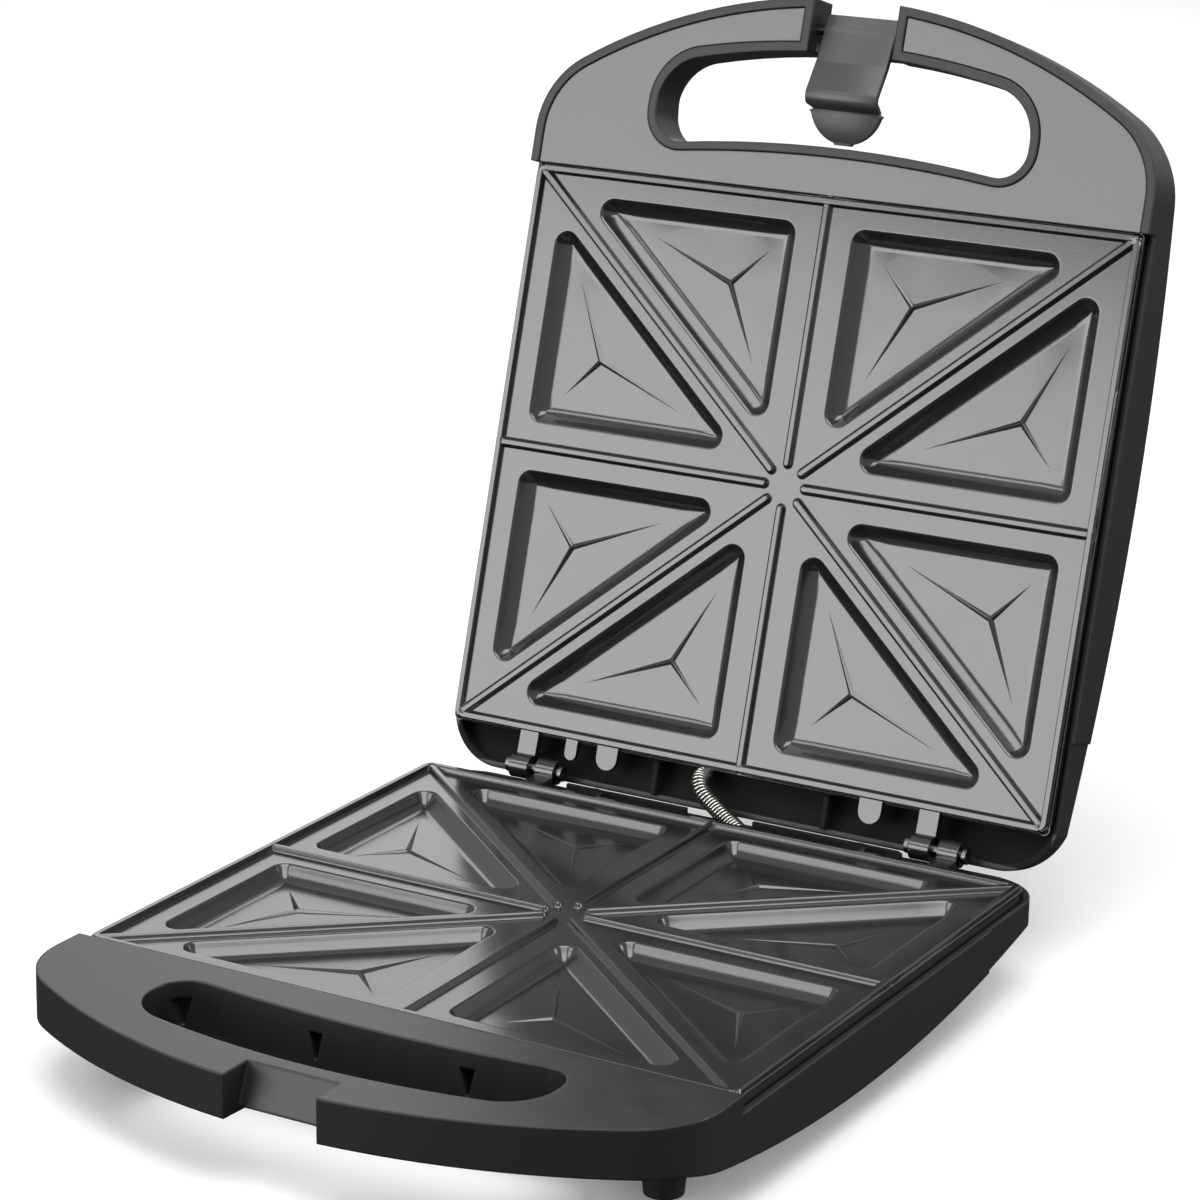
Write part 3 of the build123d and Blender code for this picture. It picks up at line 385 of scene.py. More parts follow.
pocket_shapes = {}
for kind in ("side", "end"):
    outline = pocket_corners(kind, pocket_corner)
    centre = {"side": (0.0880, 0.0360), "end": (0.0380, 0.0722)}[kind]
    floor_points = pocket_corners(kind, pocket_slope + 0.0015)
    arms = [
        (centre[0] + 0.80 * (x - centre[0]), centre[1] + 0.80 * (y - centre[1]))
        for x, y in floor_points
    ]
    pocket_shapes[kind] = (outline, centre, arms)


def eased(t):
    """A smooth step from 0 to 1."""
    t = max(0.0, min(1.0, t))
    return t * t * (3 - 2 * t)


def segment_distance(x, y, ax, ay, bx, by):
    """Distance to a segment and how far along it the nearest point lies."""
    dx, dy = bx - ax, by - ay
    t = max(0.0, min(1.0, ((x - ax) * dx + (y - ay) * dy) / (dx * dx + dy * dy)))
    return math.hypot(x - ax - t * dx, y - ay - t * dy), t


ridge_reach = {
    "across": (half_x - rim_width / 2, (1, 0)),
    "deep": (half_y - rim_width / 2, (0, 1)),
    "slant": (slant - plate_corner * 0.6, along),
}


def plate_surface(x, y):
    """Depth of the cooking face below the parting plane; one quarter serves all four."""
    x, y = abs(x), abs(y)
    cx, cy = max(0.0, x - (half_x - plate_corner)), max(0.0, y - (half_y - plate_corner))
    if cx > 0 and cy > 0:
        inward = plate_corner - math.hypot(cx, cy)
    else:
        inward = min(half_x - x, half_y - y)
    bead = eased(inward / 0.0008 + 0.35) * eased((rim_width - inward) / 0.0010)
    depth = land - (land - rim_top) * bead
    for reach, (ux, uy) in ridge_reach.values():
        away, _ = segment_distance(x, y, ux * ridge_stop, uy * ridge_stop, ux * reach, uy * reach)
        raised = eased((ridge_foot - away) / (ridge_foot - ridge_flat))
        depth = min(depth, land - (land - ridge_top) * raised)
    for outline, centre, arms in pocket_shapes.values():
        inside = pocket_corner - polygon_distance(x, y, outline)
        if inside <= -pocket_lip:
            continue
        if inside < pocket_lip:
            inside = (inside + pocket_lip) ** 2 / (4 * pocket_lip)
        fall = 1 - (1 - min(1.0, inside / pocket_slope)) ** 2.2
        depth = land + pocket_fall * fall
        if inside >= pocket_slope * 0.8:
            rise = 0.0
            for ax, ay in arms:
                away, t = segment_distance(x, y, *centre, ax, ay)
                width = star_half_width * (1 - t) + 1e-5
                rise = max(rise, star_height * (1 - 0.75 * t) * max(0.0, 1 - away / width))
            depth -= rise
    return depth


def rounded_loop(corners, radius, steps):
    """A polygon's outline grown by radius, with an arc round each corner."""
    order = corners if turning(corners) > 0 else corners[::-1]
    loop = []
    for i, (x, y) in enumerate(order):
        before, after = order[i - 1], order[(i + 1) % len(order)]
        start = math.atan2(y - before[1], x - before[0]) - math.pi / 2
        end = math.atan2(after[1] - y, after[0] - x) - math.pi / 2
        sweep = (end - start) % (2 * math.pi)
        for step in range(steps + 1):
            angle = start + sweep * step / steps
            loop.append((x + radius * math.cos(angle), y + radius * math.sin(angle)))
    return loop


def divided(loop, longest):
    """The loop with its long runs split."""
    points = []
    for i, a in enumerate(loop):
        b = loop[(i + 1) % len(loop)]
        pieces = max(1, math.ceil(math.dist(a, b) / longest))
        points += [
            (a[0] + (b[0] - a[0]) * k / pieces, a[1] + (b[1] - a[1]) * k / pieces)
            for k in range(pieces)
        ]
    return points


def plate_outline(inset, steps=10):
    """The plate's rounded outline, moved in by inset."""
    cx, cy = half_x - plate_corner, half_y - plate_corner
    corners = [(-cx, -cy), (cx, -cy), (cx, cy), (-cx, cy)]
    return divided(rounded_loop(corners, plate_corner - inset, steps), 0.006)


def cut_sheet(outline, lines, surface_at):
    """Triangles over an outline that keep every given line, raised by surface_at."""
    points, edges = [], []
    for loop, closed in [(outline, True)] + lines:
        first = len(points)
        points += [Vector(p) for p in loop]
        count = len(loop)
        edges += [(first + i, first + (i + 1) % count) for i in range(count if closed else count - 1)]
    flat, _, faces, *_ = delaunay_2d_cdt(points, edges, [], 0, 1e-7)
    raised = [Vector((p.x, p.y, surface_at(p.x, p.y))) for p in flat]
    return raised, [tuple(f) for f in faces]


quarters = [(1, 1), (-1, 1), (1, -1), (-1, -1)]
face_lines = [
    (plate_outline(inset), True)
    for inset in (0.0003, 0.0006, 0.0024, 0.0027, 0.0030, 0.0034, 0.0037)
]
for reach, (ux, uy) in ridge_reach.values():
    for sx, sy in {(a if ux else 1, b if uy else 1) for a, b in quarters}:
        start = (sx * ux * ridge_stop, sy * uy * ridge_stop)
        end = (sx * ux * reach, sy * uy * reach)
        for away in (0.0004, ridge_flat, 0.0011, 0.0014, 0.0017, ridge_foot, ridge_foot + 0.0003):
            face_lines.append((divided(rounded_loop([start, end], away, 8), 0.012), True))
for kind, (outline, centre, arms) in pocket_shapes.items():
    for sx, sy in quarters:
        for inset in (
            -pocket_lip - 0.0003, -pocket_lip, 0.0, pocket_lip, 0.0011, 0.0019, 0.0028,
            0.0037, 0.0046, 0.0055, pocket_slope, pocket_slope + 0.0003,
        ):
            if inset < pocket_corner:
                loop = rounded_loop(outline, pocket_corner - inset, 10)
            else:
                loop = pocket_corners(kind, inset)
            loop = [(sx * x, sy * y) for x, y in divided(loop, 0.008)]
            face_lines.append((loop, True))
        for tip in arms:
            length = math.dist(centre, tip)
            sideways = star_half_width / length
            side = ((tip[1] - centre[1]) * sideways, (centre[0] - tip[0]) * sideways)
            for k in (-1, 0, 1):
                start = (centre[0] + k * side[0], centre[1] + k * side[1])
                face_lines.append(([(sx * start[0], sy * start[1]), (sx * tip[0], sy * tip[1])], False))

under_lines = []
for kind, (outline, centre, arms) in pocket_shapes.items():
    for sx, sy in quarters:
        for inset in (-plate_wall, 0.0, 0.002, 0.004):
            loop = rounded_loop(outline, pocket_corner - inset, 6)
            under_lines.append(([(sx * x, sy * y) for x, y in loop], True))


def plate_underside(x, y):
    """Depth of the plate's back: the cooking face a wall's thickness on."""
    x, y = abs(x), abs(y)
    depth = land + plate_wall
    for outline, _, _ in pocket_shapes.values():
        inside = pocket_corner + plate_wall - polygon_distance(x, y, outline)
        if inside > 0:
            depth += pocket_fall * min(1.0, inside / pocket_slope)
    return depth


hinge_pin_y = frame["joints"][0]["pos_m"][1]
hinge_pin_z = frame["joints"][0]["pos_m"][2]
open_angle = math.radians(106.0)
# base_turn and lid_turn take plate coordinates (x across, y to the hinge, z into the
# housing) to the plate's place at rest.
base_turn = Matrix(((-1, 0, 0, 0), (0, 1, 0, 0), (0, 0, -1, hinge_pin_z), (0, 0, 0, 1)))
lid_turn = (
    Matrix.Translation((0, hinge_pin_y, hinge_pin_z))
    @ Matrix.Rotation(-open_angle, 4, "X")
    @ Matrix.Translation((0, -hinge_pin_y, 0))
)

knuckle_radius = 0.0047
knuckle_bore = 0.00206
knuckle_half = 0.004
knuckle_places = (-0.0905, 0.0790)


guard_exit_x = -0.0170
guard_notch = 0.0110


def skirt_end(x, y):
    """Depth of the skirt's lower edge, which is notched where the lead guard passes."""
    return land + plate_wall + 0.0006 if y > 0 and abs(x - guard_exit_x) < guard_notch / 2 else skirt


def add_plate_mesh(bm):
    """One plate with its skirt and back, in plate coordinates."""
    def put(points, faces, flip):
        made = [bm.verts.new(p) for p in points]
        for f in faces:
            order = f[::-1] if flip else f
            bm.faces.new([made[i] for i in order])

    edge_loop = plate_outline(0)
    top, top_faces = cut_sheet(edge_loop, face_lines, plate_surface)
    put(top, top_faces, True)
    inner_loop = [
        (x * (half_x - plate_wall) / half_x, y * (half_y - plate_wall) / half_y) for x, y in edge_loop
    ]
    back, back_faces = cut_sheet(inner_loop, under_lines, plate_underside)
    put(back, back_faces, False)
    levels = [
        [(x, y, plate_surface(x, y)) for x, y in edge_loop],
        [(x, y, skirt_end(x, y) - 0.0004) for x, y in edge_loop],
        [(x * 0.9975, y * 0.9975, skirt_end(x, y)) for x, y in edge_loop],
        [(x, y, skirt_end(x, y)) for x, y in inner_loop],
        [(x, y, plate_underside(x, y)) for x, y in inner_loop],
    ]
    rings = [[bm.verts.new(p) for p in level] for level in levels]
    count = len(edge_loop)
    for upper, lower in zip(rings, rings[1:]):
        for i in range(count):
            j = (i + 1) % count
            bm.faces.new((upper[i], lower[i], lower[j], upper[j]))
    bmesh.ops.remove_doubles(bm, verts=bm.verts, dist=2e-6)


def add_prism(bm, outline, x0, x1):
    """A solid between x0 and x1 over an outline given in (y, z)."""
    ends = [[bm.verts.new((x, y, z)) for y, z in outline] for x in (x0, x1)]
    made = [bm.faces.new(ends[0]), bm.faces.new(ends[1][::-1])]
    count = len(outline)
    for i in range(count):
        j = (i + 1) % count
        made.append(bm.faces.new((ends[0][j], ends[0][i], ends[1][i], ends[1][j])))
    return made


def add_ring(bm, centre, outer, inner, x0, x1, steps=28):
    """A short tube round the x direction at centre (y, z)."""
    rings = []
    for x, radius in ((x0, outer), (x1, outer), (x1, inner), (x0, inner)):
        rings.append([
            bm.verts.new((
                x,
                centre[0] + radius * math.cos(2 * math.pi * i / steps),
                centre[1] + radius * math.sin(2 * math.pi * i / steps),
            ))
            for i in range(steps)
        ])
    for k in range(4):
        a, b = rings[k], rings[(k + 1) % 4]
        for i in range(steps):
            j = (i + 1) % steps
            bm.faces.new((a[i], a[j], b[j], b[i]))


def finish_mesh(bm, name, place, smooth_angle=0.6):
    """Turns the working mesh into an object whose mesh is already in its place."""
    bm.transform(place)
    bmesh.ops.recalc_face_normals(bm, faces=bm.faces)
    mesh = bpy.data.meshes.new(name)
    bm.to_mesh(mesh)
    bm.free()
    for polygon in mesh.polygons:
        polygon.use_smooth = True
    mesh.set_sharp_from_angle(angle=smooth_angle)
    piece = bpy.data.objects.new(name, mesh)
    bpy.context.scene.collection.objects.link(piece)
    return piece


lug_outline = [
    (half_y - 0.001, 0.0010),
    (half_y + 0.004, 0.0008),
    (hinge_pin_y - 0.0022, 0.0004),
    (hinge_pin_y - 0.0022, 0.0042),
    (half_y + 0.003, 0.0040),
    (half_y - 0.001, 0.0048),
]
stop_tabs = ((-0.0744, -0.0693, 0.1162), (-0.0606, -0.0516, 0.1174), (0.0505, 0.0598, 0.1174))

plate_coat = worked_finish(
    "nonstick_coat", (0.014, 0.014, 0.015), 0.17, rubbed=(0.10, 0.10, 0.105), grain_scale=900.0,
    grain_height=0.04, edge_radius=0.0003, rubbed_amount=0.25, dust=0.01, patches=0.04, specular=1.0,
)

for name, place, body in (("lower", base_turn, "base"), ("upper", lid_turn, "lid")):
    bm = bmesh.new()
    add_plate_mesh(bm)
    for x in knuckle_places:
        add_prism(bm, lug_outline, x - knuckle_half, x + knuckle_half)
        add_ring(bm, (hinge_pin_y, 0), knuckle_radius, knuckle_bore, x - knuckle_half, x + knuckle_half)
    for x0, x1, reach in stop_tabs:
        middle, half = (x0 + x1) / 2, (x1 - x0) / 2
        tab = [(x0, half_y - 0.001), (x0, reach - half)]
        tab += [
            (middle - half * math.cos(math.pi * i / 8), reach - half + half * math.sin(math.pi * i / 8))
            for i in range(1, 8)
        ]
        tab += [(x1, reach - half), (x1, half_y - 0.001)]
        lower_ring = [bm.verts.new((x, y, 0.0012)) for x, y in tab]
        upper_ring = [bm.verts.new((x, y, 0.0034)) for x, y in tab]
        bm.faces.new(lower_ring)
        bm.faces.new(upper_ring[::-1])
        for i in range(len(tab)):
            j = (i + 1) % len(tab)
            bm.faces.new((lower_ring[j], lower_ring[i], upper_ring[i], upper_ring[j]))
    plate = finish_mesh(bm, f"{name}_cooking_plate_cast", place)
    plate.data.materials.append(plate_coat)
    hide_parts(f"{name}_cooking_plate")
    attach(plate, body)

# ---- Housings --------------------------------------------------------------------
# Base, lid and the inlet bush are moulded in black glass-filled plastic with a fine
# satin grain. The two housings are screwed to the posts behind the plates.

housing_plastic = worked_finish(
    "housing_plastic", (0.016, 0.016, 0.017), 0.40, grain_scale=1800.0, grain_height=0.12,
    edge_radius=0.0012, rubbed_amount=0.12, dust=0.05,
)
dress(("cord_gland",), housing_plastic)

# Inside, behind the plates, the plastic is given a near-black colour and a high roughness: painted
# shade for the deep hollow that the light hardly reaches. A mask finds the inside by its place.


def belly_circle(a, b, c):
    """The circle through three (y, depth) points on the outside of the belly."""
    (ay, az), (by, bz), (cy, cz) = a, b, c
    scale = 2 * (ay * (bz - cz) + by * (cz - az) + cy * (az - bz))
    squares = [y * y + z * z for y, z in (a, b, c)]
    y = (squares[0] * (bz - cz) + squares[1] * (cz - az) + squares[2] * (az - bz)) / scale
    z = (squares[0] * (cy - by) + squares[1] * (ay - cy) + squares[2] * (by - ay)) / scale
    return math.hypot(ay - y, az - z), (y, z)


# Painted shade: the near-black colour and the roughness laid on the housing's inside.
painted_shade_colour = (0.0015, 0.0015, 0.0015, 1)
painted_shade_roughness = 0.9
rear_inner_face = half_y + 0.0146
side_inner_face = half_x + 0.0004
belly_wall = 0.0018
belly_radius, belly_middle = belly_circle((-0.1402, 0.0172), (-0.0200, 0.0297), (0.1250, 0.0124))


def painted_shade_inside(name, half_turn, wall_top):
    """The housing's plastic with painted shade, black, on its inside, for the half that half_turn
    places.
    """
    material = housing_plastic.copy()
    material.name = name
    tree = material.node_tree

    def sum_node(kind, operation, first, second):
        made = tree.nodes.new(kind)
        made.operation = operation
        for socket, value in zip(made.inputs, (first, second)):
            if isinstance(value, (int, float, Vector)):
                socket.default_value = value
            else:
                tree.links.new(value, socket)
        return made.outputs["Vector" if operation == "SUBTRACT" else "Value"]

    def along_axis(vector, axis):
        return sum_node("ShaderNodeVectorMath", "DOT_PRODUCT", vector, turned @ Vector(axis))

    turned = half_turn.to_3x3()
    middle = half_turn @ Vector((0, 0, 0))
    place = tree.nodes.new("ShaderNodeTexCoord")
    normal = tree.nodes.new("ShaderNodeNewGeometry")
    offset = sum_node("ShaderNodeVectorMath", "SUBTRACT", place.outputs["Object"], middle)
    across, back, deep = (along_axis(offset, axis) for axis in ((1, 0, 0), (0, 1, 0), (0, 0, 1)))
    outward = along_axis(normal.outputs["Normal"], (0, 0, 1))
    reach = [
        sum_node("ShaderNodeMath", "POWER", sum_node("ShaderNodeMath", "ADD", along, -middle_at), 2.0)
        for along, middle_at in ((back, belly_middle[0]), (deep, belly_middle[1]))
    ]
    squared = sum_node("ShaderNodeMath", "ADD", *reach)
    aside = sum_node("ShaderNodeMath", "ABSOLUTE", across, 0.0)
    inside = sum_node("ShaderNodeMath", "GREATER_THAN", deep, wall_top)
    for limit in (
        sum_node("ShaderNodeMath", "LESS_THAN", back, rear_inner_face),
        sum_node("ShaderNodeMath", "GREATER_THAN", back, -half_y - 0.0002),
        sum_node("ShaderNodeMath", "LESS_THAN", aside, side_inner_face),
        sum_node("ShaderNodeMath", "LESS_THAN", outward, 0.3),
        sum_node("ShaderNodeMath", "LESS_THAN", squared, (belly_radius - belly_wall) ** 2),
    ):
        inside = sum_node("ShaderNodeMath", "MULTIPLY", inside, limit)
    # Where the mask is on, the painted shade takes the place of the plastic's colour and roughness.
    for socket_name, kind, shade_setting in (
        ("Base Color", "RGBA", painted_shade_colour),
        ("Roughness", "FLOAT", painted_shade_roughness),
    ):
        socket = tree.nodes["Principled BSDF"].inputs[socket_name]
        outer = socket.links[0].from_socket
        choice = tree.nodes.new("ShaderNodeMix")
        choice.data_type = kind
        tree.links.new(inside, choice.inputs["Factor"])
        clean, shaded_input = [i for i in choice.inputs if i.enabled and i.name in ("A", "B")]
        tree.links.new(outer, clean)
        shaded_input.default_value = shade_setting
        tree.links.new([o for o in choice.outputs if o.enabled][0], socket)
    return material


dress(("base_shell",), painted_shade_inside("base_plastic", base_turn, 0.0024))
dress(("lid_shell",), painted_shade_inside("lid_plastic", lid_turn, 0.0036))

# ---- Handle cover ------------------------------------------------------------------
# A separate moulded panel sunk into the inner face of the lid's handle and held by
# screws from the outside. Its mid-grey colour, far lighter than the lid, is painted reflection of the
# soft boxes.

# The grey base colour is painted reflection: the panel's black plastic is drawn as if lit by the boxes
# it mirrors.
cover_plastic_painted_reflection = worked_finish(
    "cover_plastic_painted_reflection", (0.185, 0.185, 0.188), 0.34, grain_scale=1800.0, grain_height=0.10,
    edge_radius=0.0006, rubbed_amount=0.12, dust=0.03,
)
dress(("lid_handle_cover",), cover_plastic_painted_reflection)

# ---- Latch -------------------------------------------------------------------------
# A moulded hook that turns on a pin across the lid's notch: a cranked plate, a roll
# that grips the base, a groove behind it and a rounded thumb tab.

latch_pivot = Vector(frame["joints"][1]["pos_m"])
latch_half_width = 0.01475
latch_thickness = 0.0026
latch_corner = 0.0006
tab_radius = 0.0150
tab_overhang = 0.0030
tab_end_half = 0.0035


def rounded_run(points, radii, steps=7):
    """An open run of straight pieces with an arc at each inner corner."""
    run = [Vector(points[0])]
    for before, corner, after, radius in zip(points, points[1:], points[2:], radii):
        back = (Vector(before) - Vector(corner)).normalized()
        on = (Vector(after) - Vector(corner)).normalized()
        half_turn = back.angle(on) / 2
        room = 0.45 * min(math.dist(before, corner), math.dist(corner, after))
        reach = min(radius / math.tan(half_turn), room)
        start, end = Vector(corner) + back * reach, Vector(corner) + on * reach
        for i in range(steps + 1):
            t = i / steps
            run.append(start * (1 - t) ** 2 + Vector(corner) * 2 * t * (1 - t) + end * t * t)
    run.append(Vector(points[-1]))
    return run


def latch_width_at(y):
    """Half the latch's width at y behind its pivot."""
    groove_start, tab_start = 0.0276, 0.0294
    if y < groove_start:
        return latch_half_width
    if y < tab_start:
        return latch_half_width - 0.0010
    if y < tab_start + 0.0012:
        return latch_half_width + 0.0006
    reach = y - tab_start - 0.0002
    chord = math.sqrt(max(0.0, tab_radius**2 - (reach + tab_overhang) ** 2))
    return max(tab_end_half, chord if reach < tab_radius - tab_overhang - 0.0001 else tab_end_half)


def latch_part(bm, run, thickness):
    """A plate along a run of (y, z) points from the pivot, its long edges rounded."""
    rings = []
    for i, point in enumerate(run):
        ahead = run[min(i + 1, len(run) - 1)] - run[max(i - 1, 0)]
        out = Vector((-ahead.y, ahead.x)).normalized()
        half, thick, r = latch_width_at(point.x), thickness / 2, latch_corner
        ring = []
        for sx, sn in ((1, 1), (-1, 1), (-1, -1), (1, -1)):
            arc = [
                (half - r + r * math.cos(a), thick - r + r * math.sin(a))
                for a in (0, math.pi / 4, math.pi / 2)
            ]
            arc = arc if sx * sn > 0 else arc[::-1]
            for across, off in arc:
                at = point + out * off * sn
                ring.append(bm.verts.new((sx * across, at.x, at.y)))
        rings.append(ring)
    for a, b in zip(rings, rings[1:]):
        for i in range(len(a)):
            j = (i + 1) % len(a)
            bm.faces.new((a[i], a[j], b[j], b[i]))
    bm.faces.new(rings[0][::-1])
    bm.faces.new(rings[-1])


plate_run = rounded_run(
    [
        (-0.0060, -0.0014), (0.0005, -0.0029), (0.0122, -0.0060),
        (0.0238, -0.0108), (0.0268, -0.0104), (0.0282, -0.0050),
    ],
    (0.010, 0.0030, 0.0020, 0.0022),
)
tab_run = [Vector((0.0278 + 0.0007 * i, -0.0046 + 0.00009 * i)) for i in range(21)]
latch_plastic = worked_finish(
    "latch_plastic", (0.055, 0.050, 0.054), 0.32, grain_height=0.10,
    edge_radius=0.0004, rubbed_amount=0.15, dust=0.03,
)
bm = bmesh.new()
latch_part(bm, plate_run, latch_thickness)
latch_part(bm, tab_run, latch_thickness)
add_ring(bm, (0, 0), 0.0039, 0.00158, -latch_half_width, latch_half_width)
latch_turn = Matrix.Translation(latch_pivot) @ Matrix.Rotation(-open_angle, 4, "X")
latch = finish_mesh(bm, "latch_hook", latch_turn, 0.9)
latch.data.materials.append(latch_plastic)
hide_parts("latch")
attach(latch, "latch")

# ---- Hinge pins and latch pin --------------------------------------------------------
# Drawn steel pins, darkened and lightly scratched. Two join the knuckles of the
# plates and one carries the latch across the lid's notch.

pin_steel = worked_finish(
    "pin_steel", (0.16, 0.16, 0.155), 0.32, metallic=1.0, grain_scale=700.0, grain_height=0.15,
    edge_radius=0.0002, rubbed_amount=0.1, dust=0.02,
)
dress(("left_hinge_pin", "right_hinge_pin", "latch_pin"), pin_steel)

# ---- Feet ---------------------------------------------------------------------------
# Four black rubber feet, pressed onto short stems under the base. They are matt
# and pick up dust.

foot_rubber = worked_finish(
    "foot_rubber", (0.018, 0.018, 0.018), 0.75, grain_scale=1200.0, grain_height=0.25,
    edge_radius=0.0008, rubbed_amount=0.3, rubbed=(0.06, 0.06, 0.06), dust=0.12,
)
dress([f"{end}_{side}_foot" for end in ("front", "rear") for side in ("left", "right")], foot_rubber)

# ---- Inside: heaters, clamps, shields and wiring parts --------------------------------
# Tube heaters in their sheet-steel clamps, bright aluminium shields, zinc-plated
# screws and moulded terminals. Only the two lamps' lenses show from outside.

heater_steel = worked_finish(
    "heater_steel", (0.25, 0.24, 0.22), 0.5, metallic=1.0, grain_scale=900.0, grain_height=0.2,
)
dress(("lower_heating_element", "upper_heating_element"), heater_steel)
clamp_steel = worked_finish("clamp_steel", (0.55, 0.55, 0.54), 0.4, metallic=1.0)
dress([f"{half}_element_clamp_{n}" for half in ("lower", "upper") for n in (1, 2, 3, 4)], clamp_steel)
shield_aluminium = worked_finish("shield_aluminium", (0.75, 0.75, 0.74), 0.35, metallic=1.0)
dress(("lower_heat_shield", "upper_heat_shield", "thermostat", "thermal_fuse"), shield_aluminium)
screw_zinc = worked_finish("screw_zinc", (0.55, 0.54, 0.50), 0.35, metallic=1.0, grain_scale=1500.0)
dress(("lower_plate_screws", "upper_plate_screws", "handle_cover_screws"), screw_zinc)
terminal_plastic = worked_finish("terminal_plastic", (0.75, 0.72, 0.65), 0.4)
dress(("terminal_block", "lamp_holder"), terminal_plastic)
red_lens = worked_finish("red_lens", (0.50, 0.015, 0.010), 0.12, grain_height=0.02)
dress(("power_lamp_lens",), red_lens)
green_lens = worked_finish("green_lens", (0.02, 0.35, 0.05), 0.12, grain_height=0.02)
dress(("ready_lamp_lens",), green_lens)

# ---- Lead guard -----------------------------------------------------------------------
# A close-wound bright wire coil round the leads that cross from base to lid. It
# leaves each half through a notch in the plate's skirt; here it keeps one shape, that of the open lid.

guard_wire = worked_finish(
    "guard_wire", (0.88, 0.86, 0.80), 0.22, metallic=1.0, grain_height=0.03, dust=0.01,
)
lead_sleeve = worked_finish("lead_sleeve", (0.03, 0.03, 0.03), 0.7)
guard_depth = 0.0094
sleeve_radius = 0.0021
guard_route = [
    lid_turn @ Vector((guard_exit_x + 0.0095, half_y - 0.0097, guard_depth + 0.0008)),
    lid_turn @ Vector((guard_exit_x + 0.0035, half_y - 0.0047, guard_depth + 0.0004)),
    lid_turn @ Vector((guard_exit_x, half_y + 0.0013, guard_depth - 0.0006)),
    Vector((guard_exit_x + 0.0015, hinge_pin_y + 0.0038, hinge_pin_z + 0.0050)),
    Vector((-0.0050, hinge_pin_y - 0.0012, hinge_pin_z - 0.0012)),
    Vector((0.0075, hinge_pin_y - 0.0064, hinge_pin_z - 0.0066)),
    base_turn @ Vector((guard_exit_x + 0.0015, half_y + 0.0003, guard_depth)),
    base_turn @ Vector((guard_exit_x + 0.0030, half_y - 0.0057, guard_depth + 0.0005)),
    base_turn @ Vector((guard_exit_x + 0.0095, half_y - 0.0097, guard_depth + 0.0008)),
]


def route_curve(name, points):
    """A smooth open curve through the guard's route."""
    curve = bpy.data.curves.new(name, "CURVE")
    curve.dimensions = "3D"
    curve.resolution_u = 16
    spline = curve.splines.new("BEZIER")
    spline.bezier_points.add(len(points) - 1)
    for knot, point in zip(spline.bezier_points, points):
        knot.co = point
        knot.handle_left_type = knot.handle_right_type = "AUTO"
    made = bpy.data.objects.new(name, curve)
    bpy.context.scene.collection.objects.link(made)
    return made


coil_tree = bpy.data.node_groups.new("wire_coil", "GeometryNodeTree")
group_socket(coil_tree, "Geometry", "NodeSocketGeometry", "INPUT")
coil_inputs = {}
for name, kind, value in (
    ("Coil Radius", "NodeSocketFloat", 0.0031),
    ("Wire Radius", "NodeSocketFloat", 0.00036),
    ("Turns", "NodeSocketInt", 56),
    ("Points per Turn", "NodeSocketInt", 14),
    ("Finish", "NodeSocketMaterial", None),
):
    coil_inputs[name] = group_socket(coil_tree, name, kind, "INPUT", value).identifier
group_socket(coil_tree, "Geometry", "NodeSocketGeometry", "OUTPUT")
coil_nodes, coil_links = coil_tree.nodes, coil_tree.links
coil_in = coil_nodes.new("NodeGroupInput")
coil_out = coil_nodes.new("NodeGroupOutput")


def coil_math(operation, first, second=None, vector=False):
    """One Math or Vector Math node of the coil's tree."""
    made = coil_nodes.new("ShaderNodeVectorMath" if vector else "ShaderNodeMath")
    made.operation = operation
    for index, value in enumerate((first, second)):
        if value is None:
            continue
        socket = made.inputs["Scale"] if operation == "SCALE" and index == 1 else made.inputs[index]
        if isinstance(value, (int, float)):
            socket.default_value = value
        else:
            coil_links.new(value, socket)
    return made.outputs["Vector"] if vector else made.outputs[0]


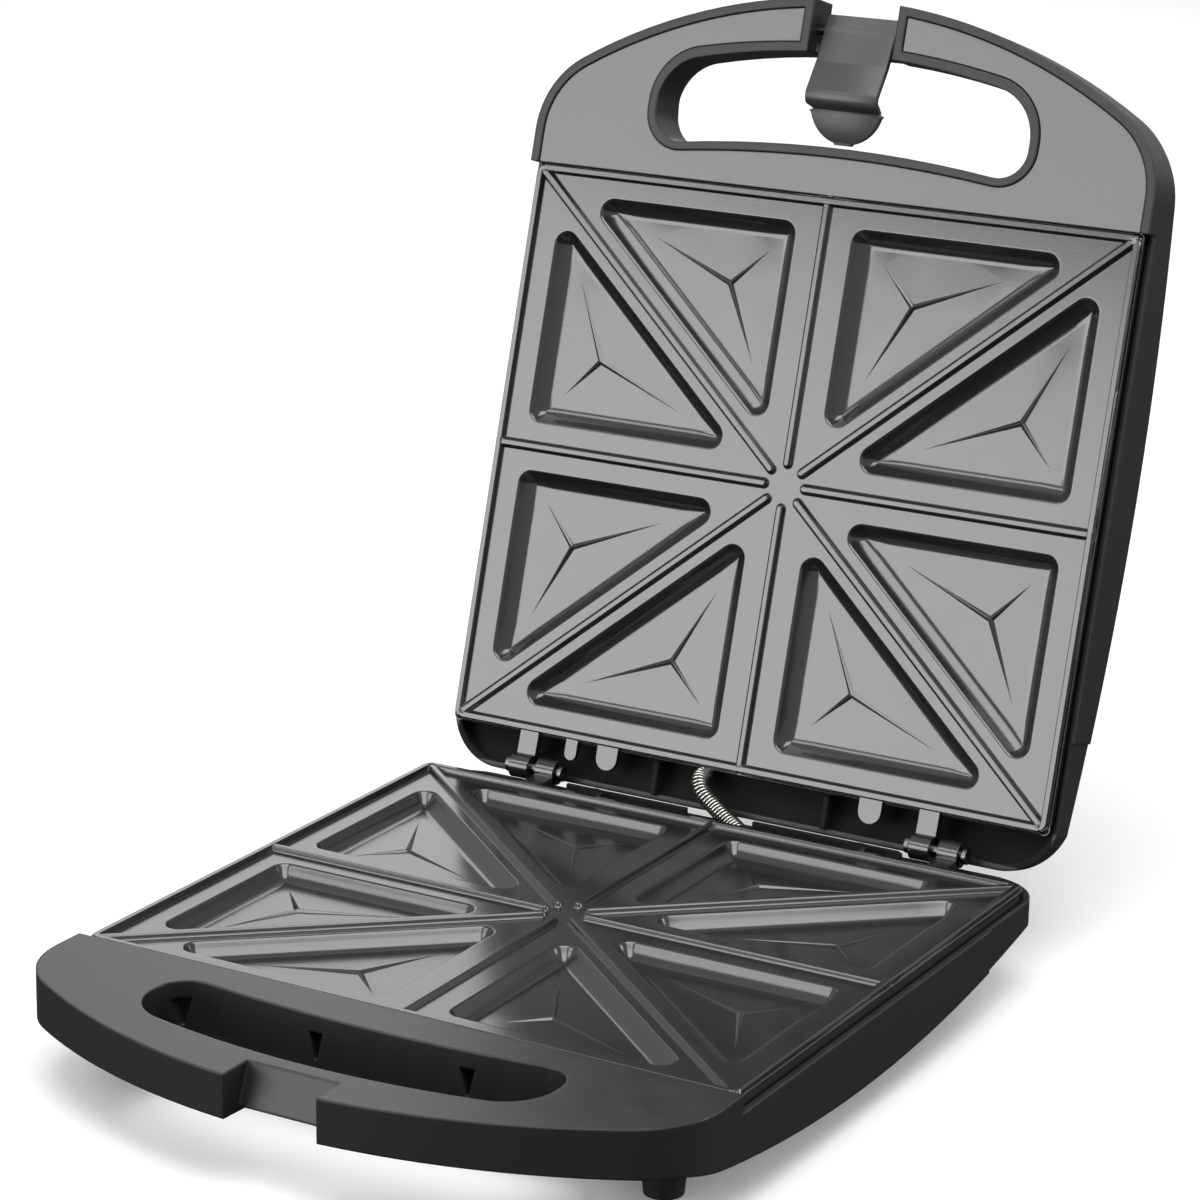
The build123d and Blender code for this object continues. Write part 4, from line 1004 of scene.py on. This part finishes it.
steps_along = coil_math("MULTIPLY", coil_in.outputs["Turns"], coil_in.outputs["Points per Turn"])
spaced = coil_nodes.new("GeometryNodeResampleCurve")
coil_links.new(coil_in.outputs["Geometry"], spaced.inputs["Curve"])
coil_links.new(steps_along, spaced.inputs["Count"])
index = coil_nodes.new("GeometryNodeInputIndex")
whole_turns = coil_math("MULTIPLY", index.outputs[0], 2 * math.pi)
angle = coil_math("DIVIDE", whole_turns, coil_in.outputs["Points per Turn"])
normal = coil_nodes.new("GeometryNodeInputNormal")
tangent = coil_nodes.new("GeometryNodeInputTangent")
side = coil_math("CROSS_PRODUCT", normal.outputs[0], tangent.outputs[0], True)
swing = coil_math(
    "ADD",
    coil_math("SCALE", normal.outputs[0], coil_math("COSINE", angle), True),
    coil_math("SCALE", side, coil_math("SINE", angle), True),
    True,
)
wound = coil_nodes.new("GeometryNodeSetPosition")
coil_links.new(spaced.outputs["Curve"], wound.inputs["Geometry"])
coil_links.new(coil_math("SCALE", swing, coil_in.outputs["Coil Radius"], True), wound.inputs["Offset"])
wire_section = coil_nodes.new("GeometryNodeCurvePrimitiveCircle")
wire_section.inputs["Resolution"].default_value = 7
coil_links.new(coil_in.outputs["Wire Radius"], wire_section.inputs["Radius"])
swept = coil_nodes.new("GeometryNodeCurveToMesh")
swept.inputs["Fill Caps"].default_value = True
coil_links.new(wound.outputs["Geometry"], swept.inputs["Curve"])
coil_links.new(wire_section.outputs["Curve"], swept.inputs["Profile Curve"])
real = coil_nodes.new("GeometryNodeRealizeInstances")
coil_links.new(swept.outputs["Mesh"], real.inputs[0])
coated = coil_nodes.new("GeometryNodeSetMaterial")
coil_links.new(real.outputs[0], coated.inputs["Geometry"])
coil_links.new(coil_in.outputs["Finish"], coated.inputs["Material"])
coil_links.new(coated.outputs[0], coil_out.inputs[0])

guard_line = route_curve("guard_line", guard_route)
winding = guard_line.modifiers.new("coil", "NODES")
winding.node_group = coil_tree
winding[coil_inputs["Finish"]] = guard_wire
bpy.context.view_layer.update()


def plain_copy(name, source):
    """A plain mesh object with the shape that source has after its modifiers."""
    evaluated = source.evaluated_get(bpy.context.evaluated_depsgraph_get())
    copy = bpy.data.objects.new(name, bpy.data.meshes.new_from_object(evaluated))
    bpy.context.scene.collection.objects.link(copy)
    return copy


coil = plain_copy("lead_guard_coil", guard_line)
for polygon in coil.data.polygons:
    polygon.use_smooth = True
guard_line.modifiers.clear()
guard_line.data.bevel_depth = sleeve_radius
sleeve = plain_copy("lead_sleeves", guard_line)
sleeve.data.materials.clear()
sleeve.data.materials.append(lead_sleeve)
bpy.data.objects.remove(guard_line)
for piece, node_name, finish_slot in (
    (coil, "lead_guard_spring", "guard_steel"),
    (sleeve, "lead_bundle", "lead_sleeve"),
):
    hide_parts(node_name)
    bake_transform(piece)
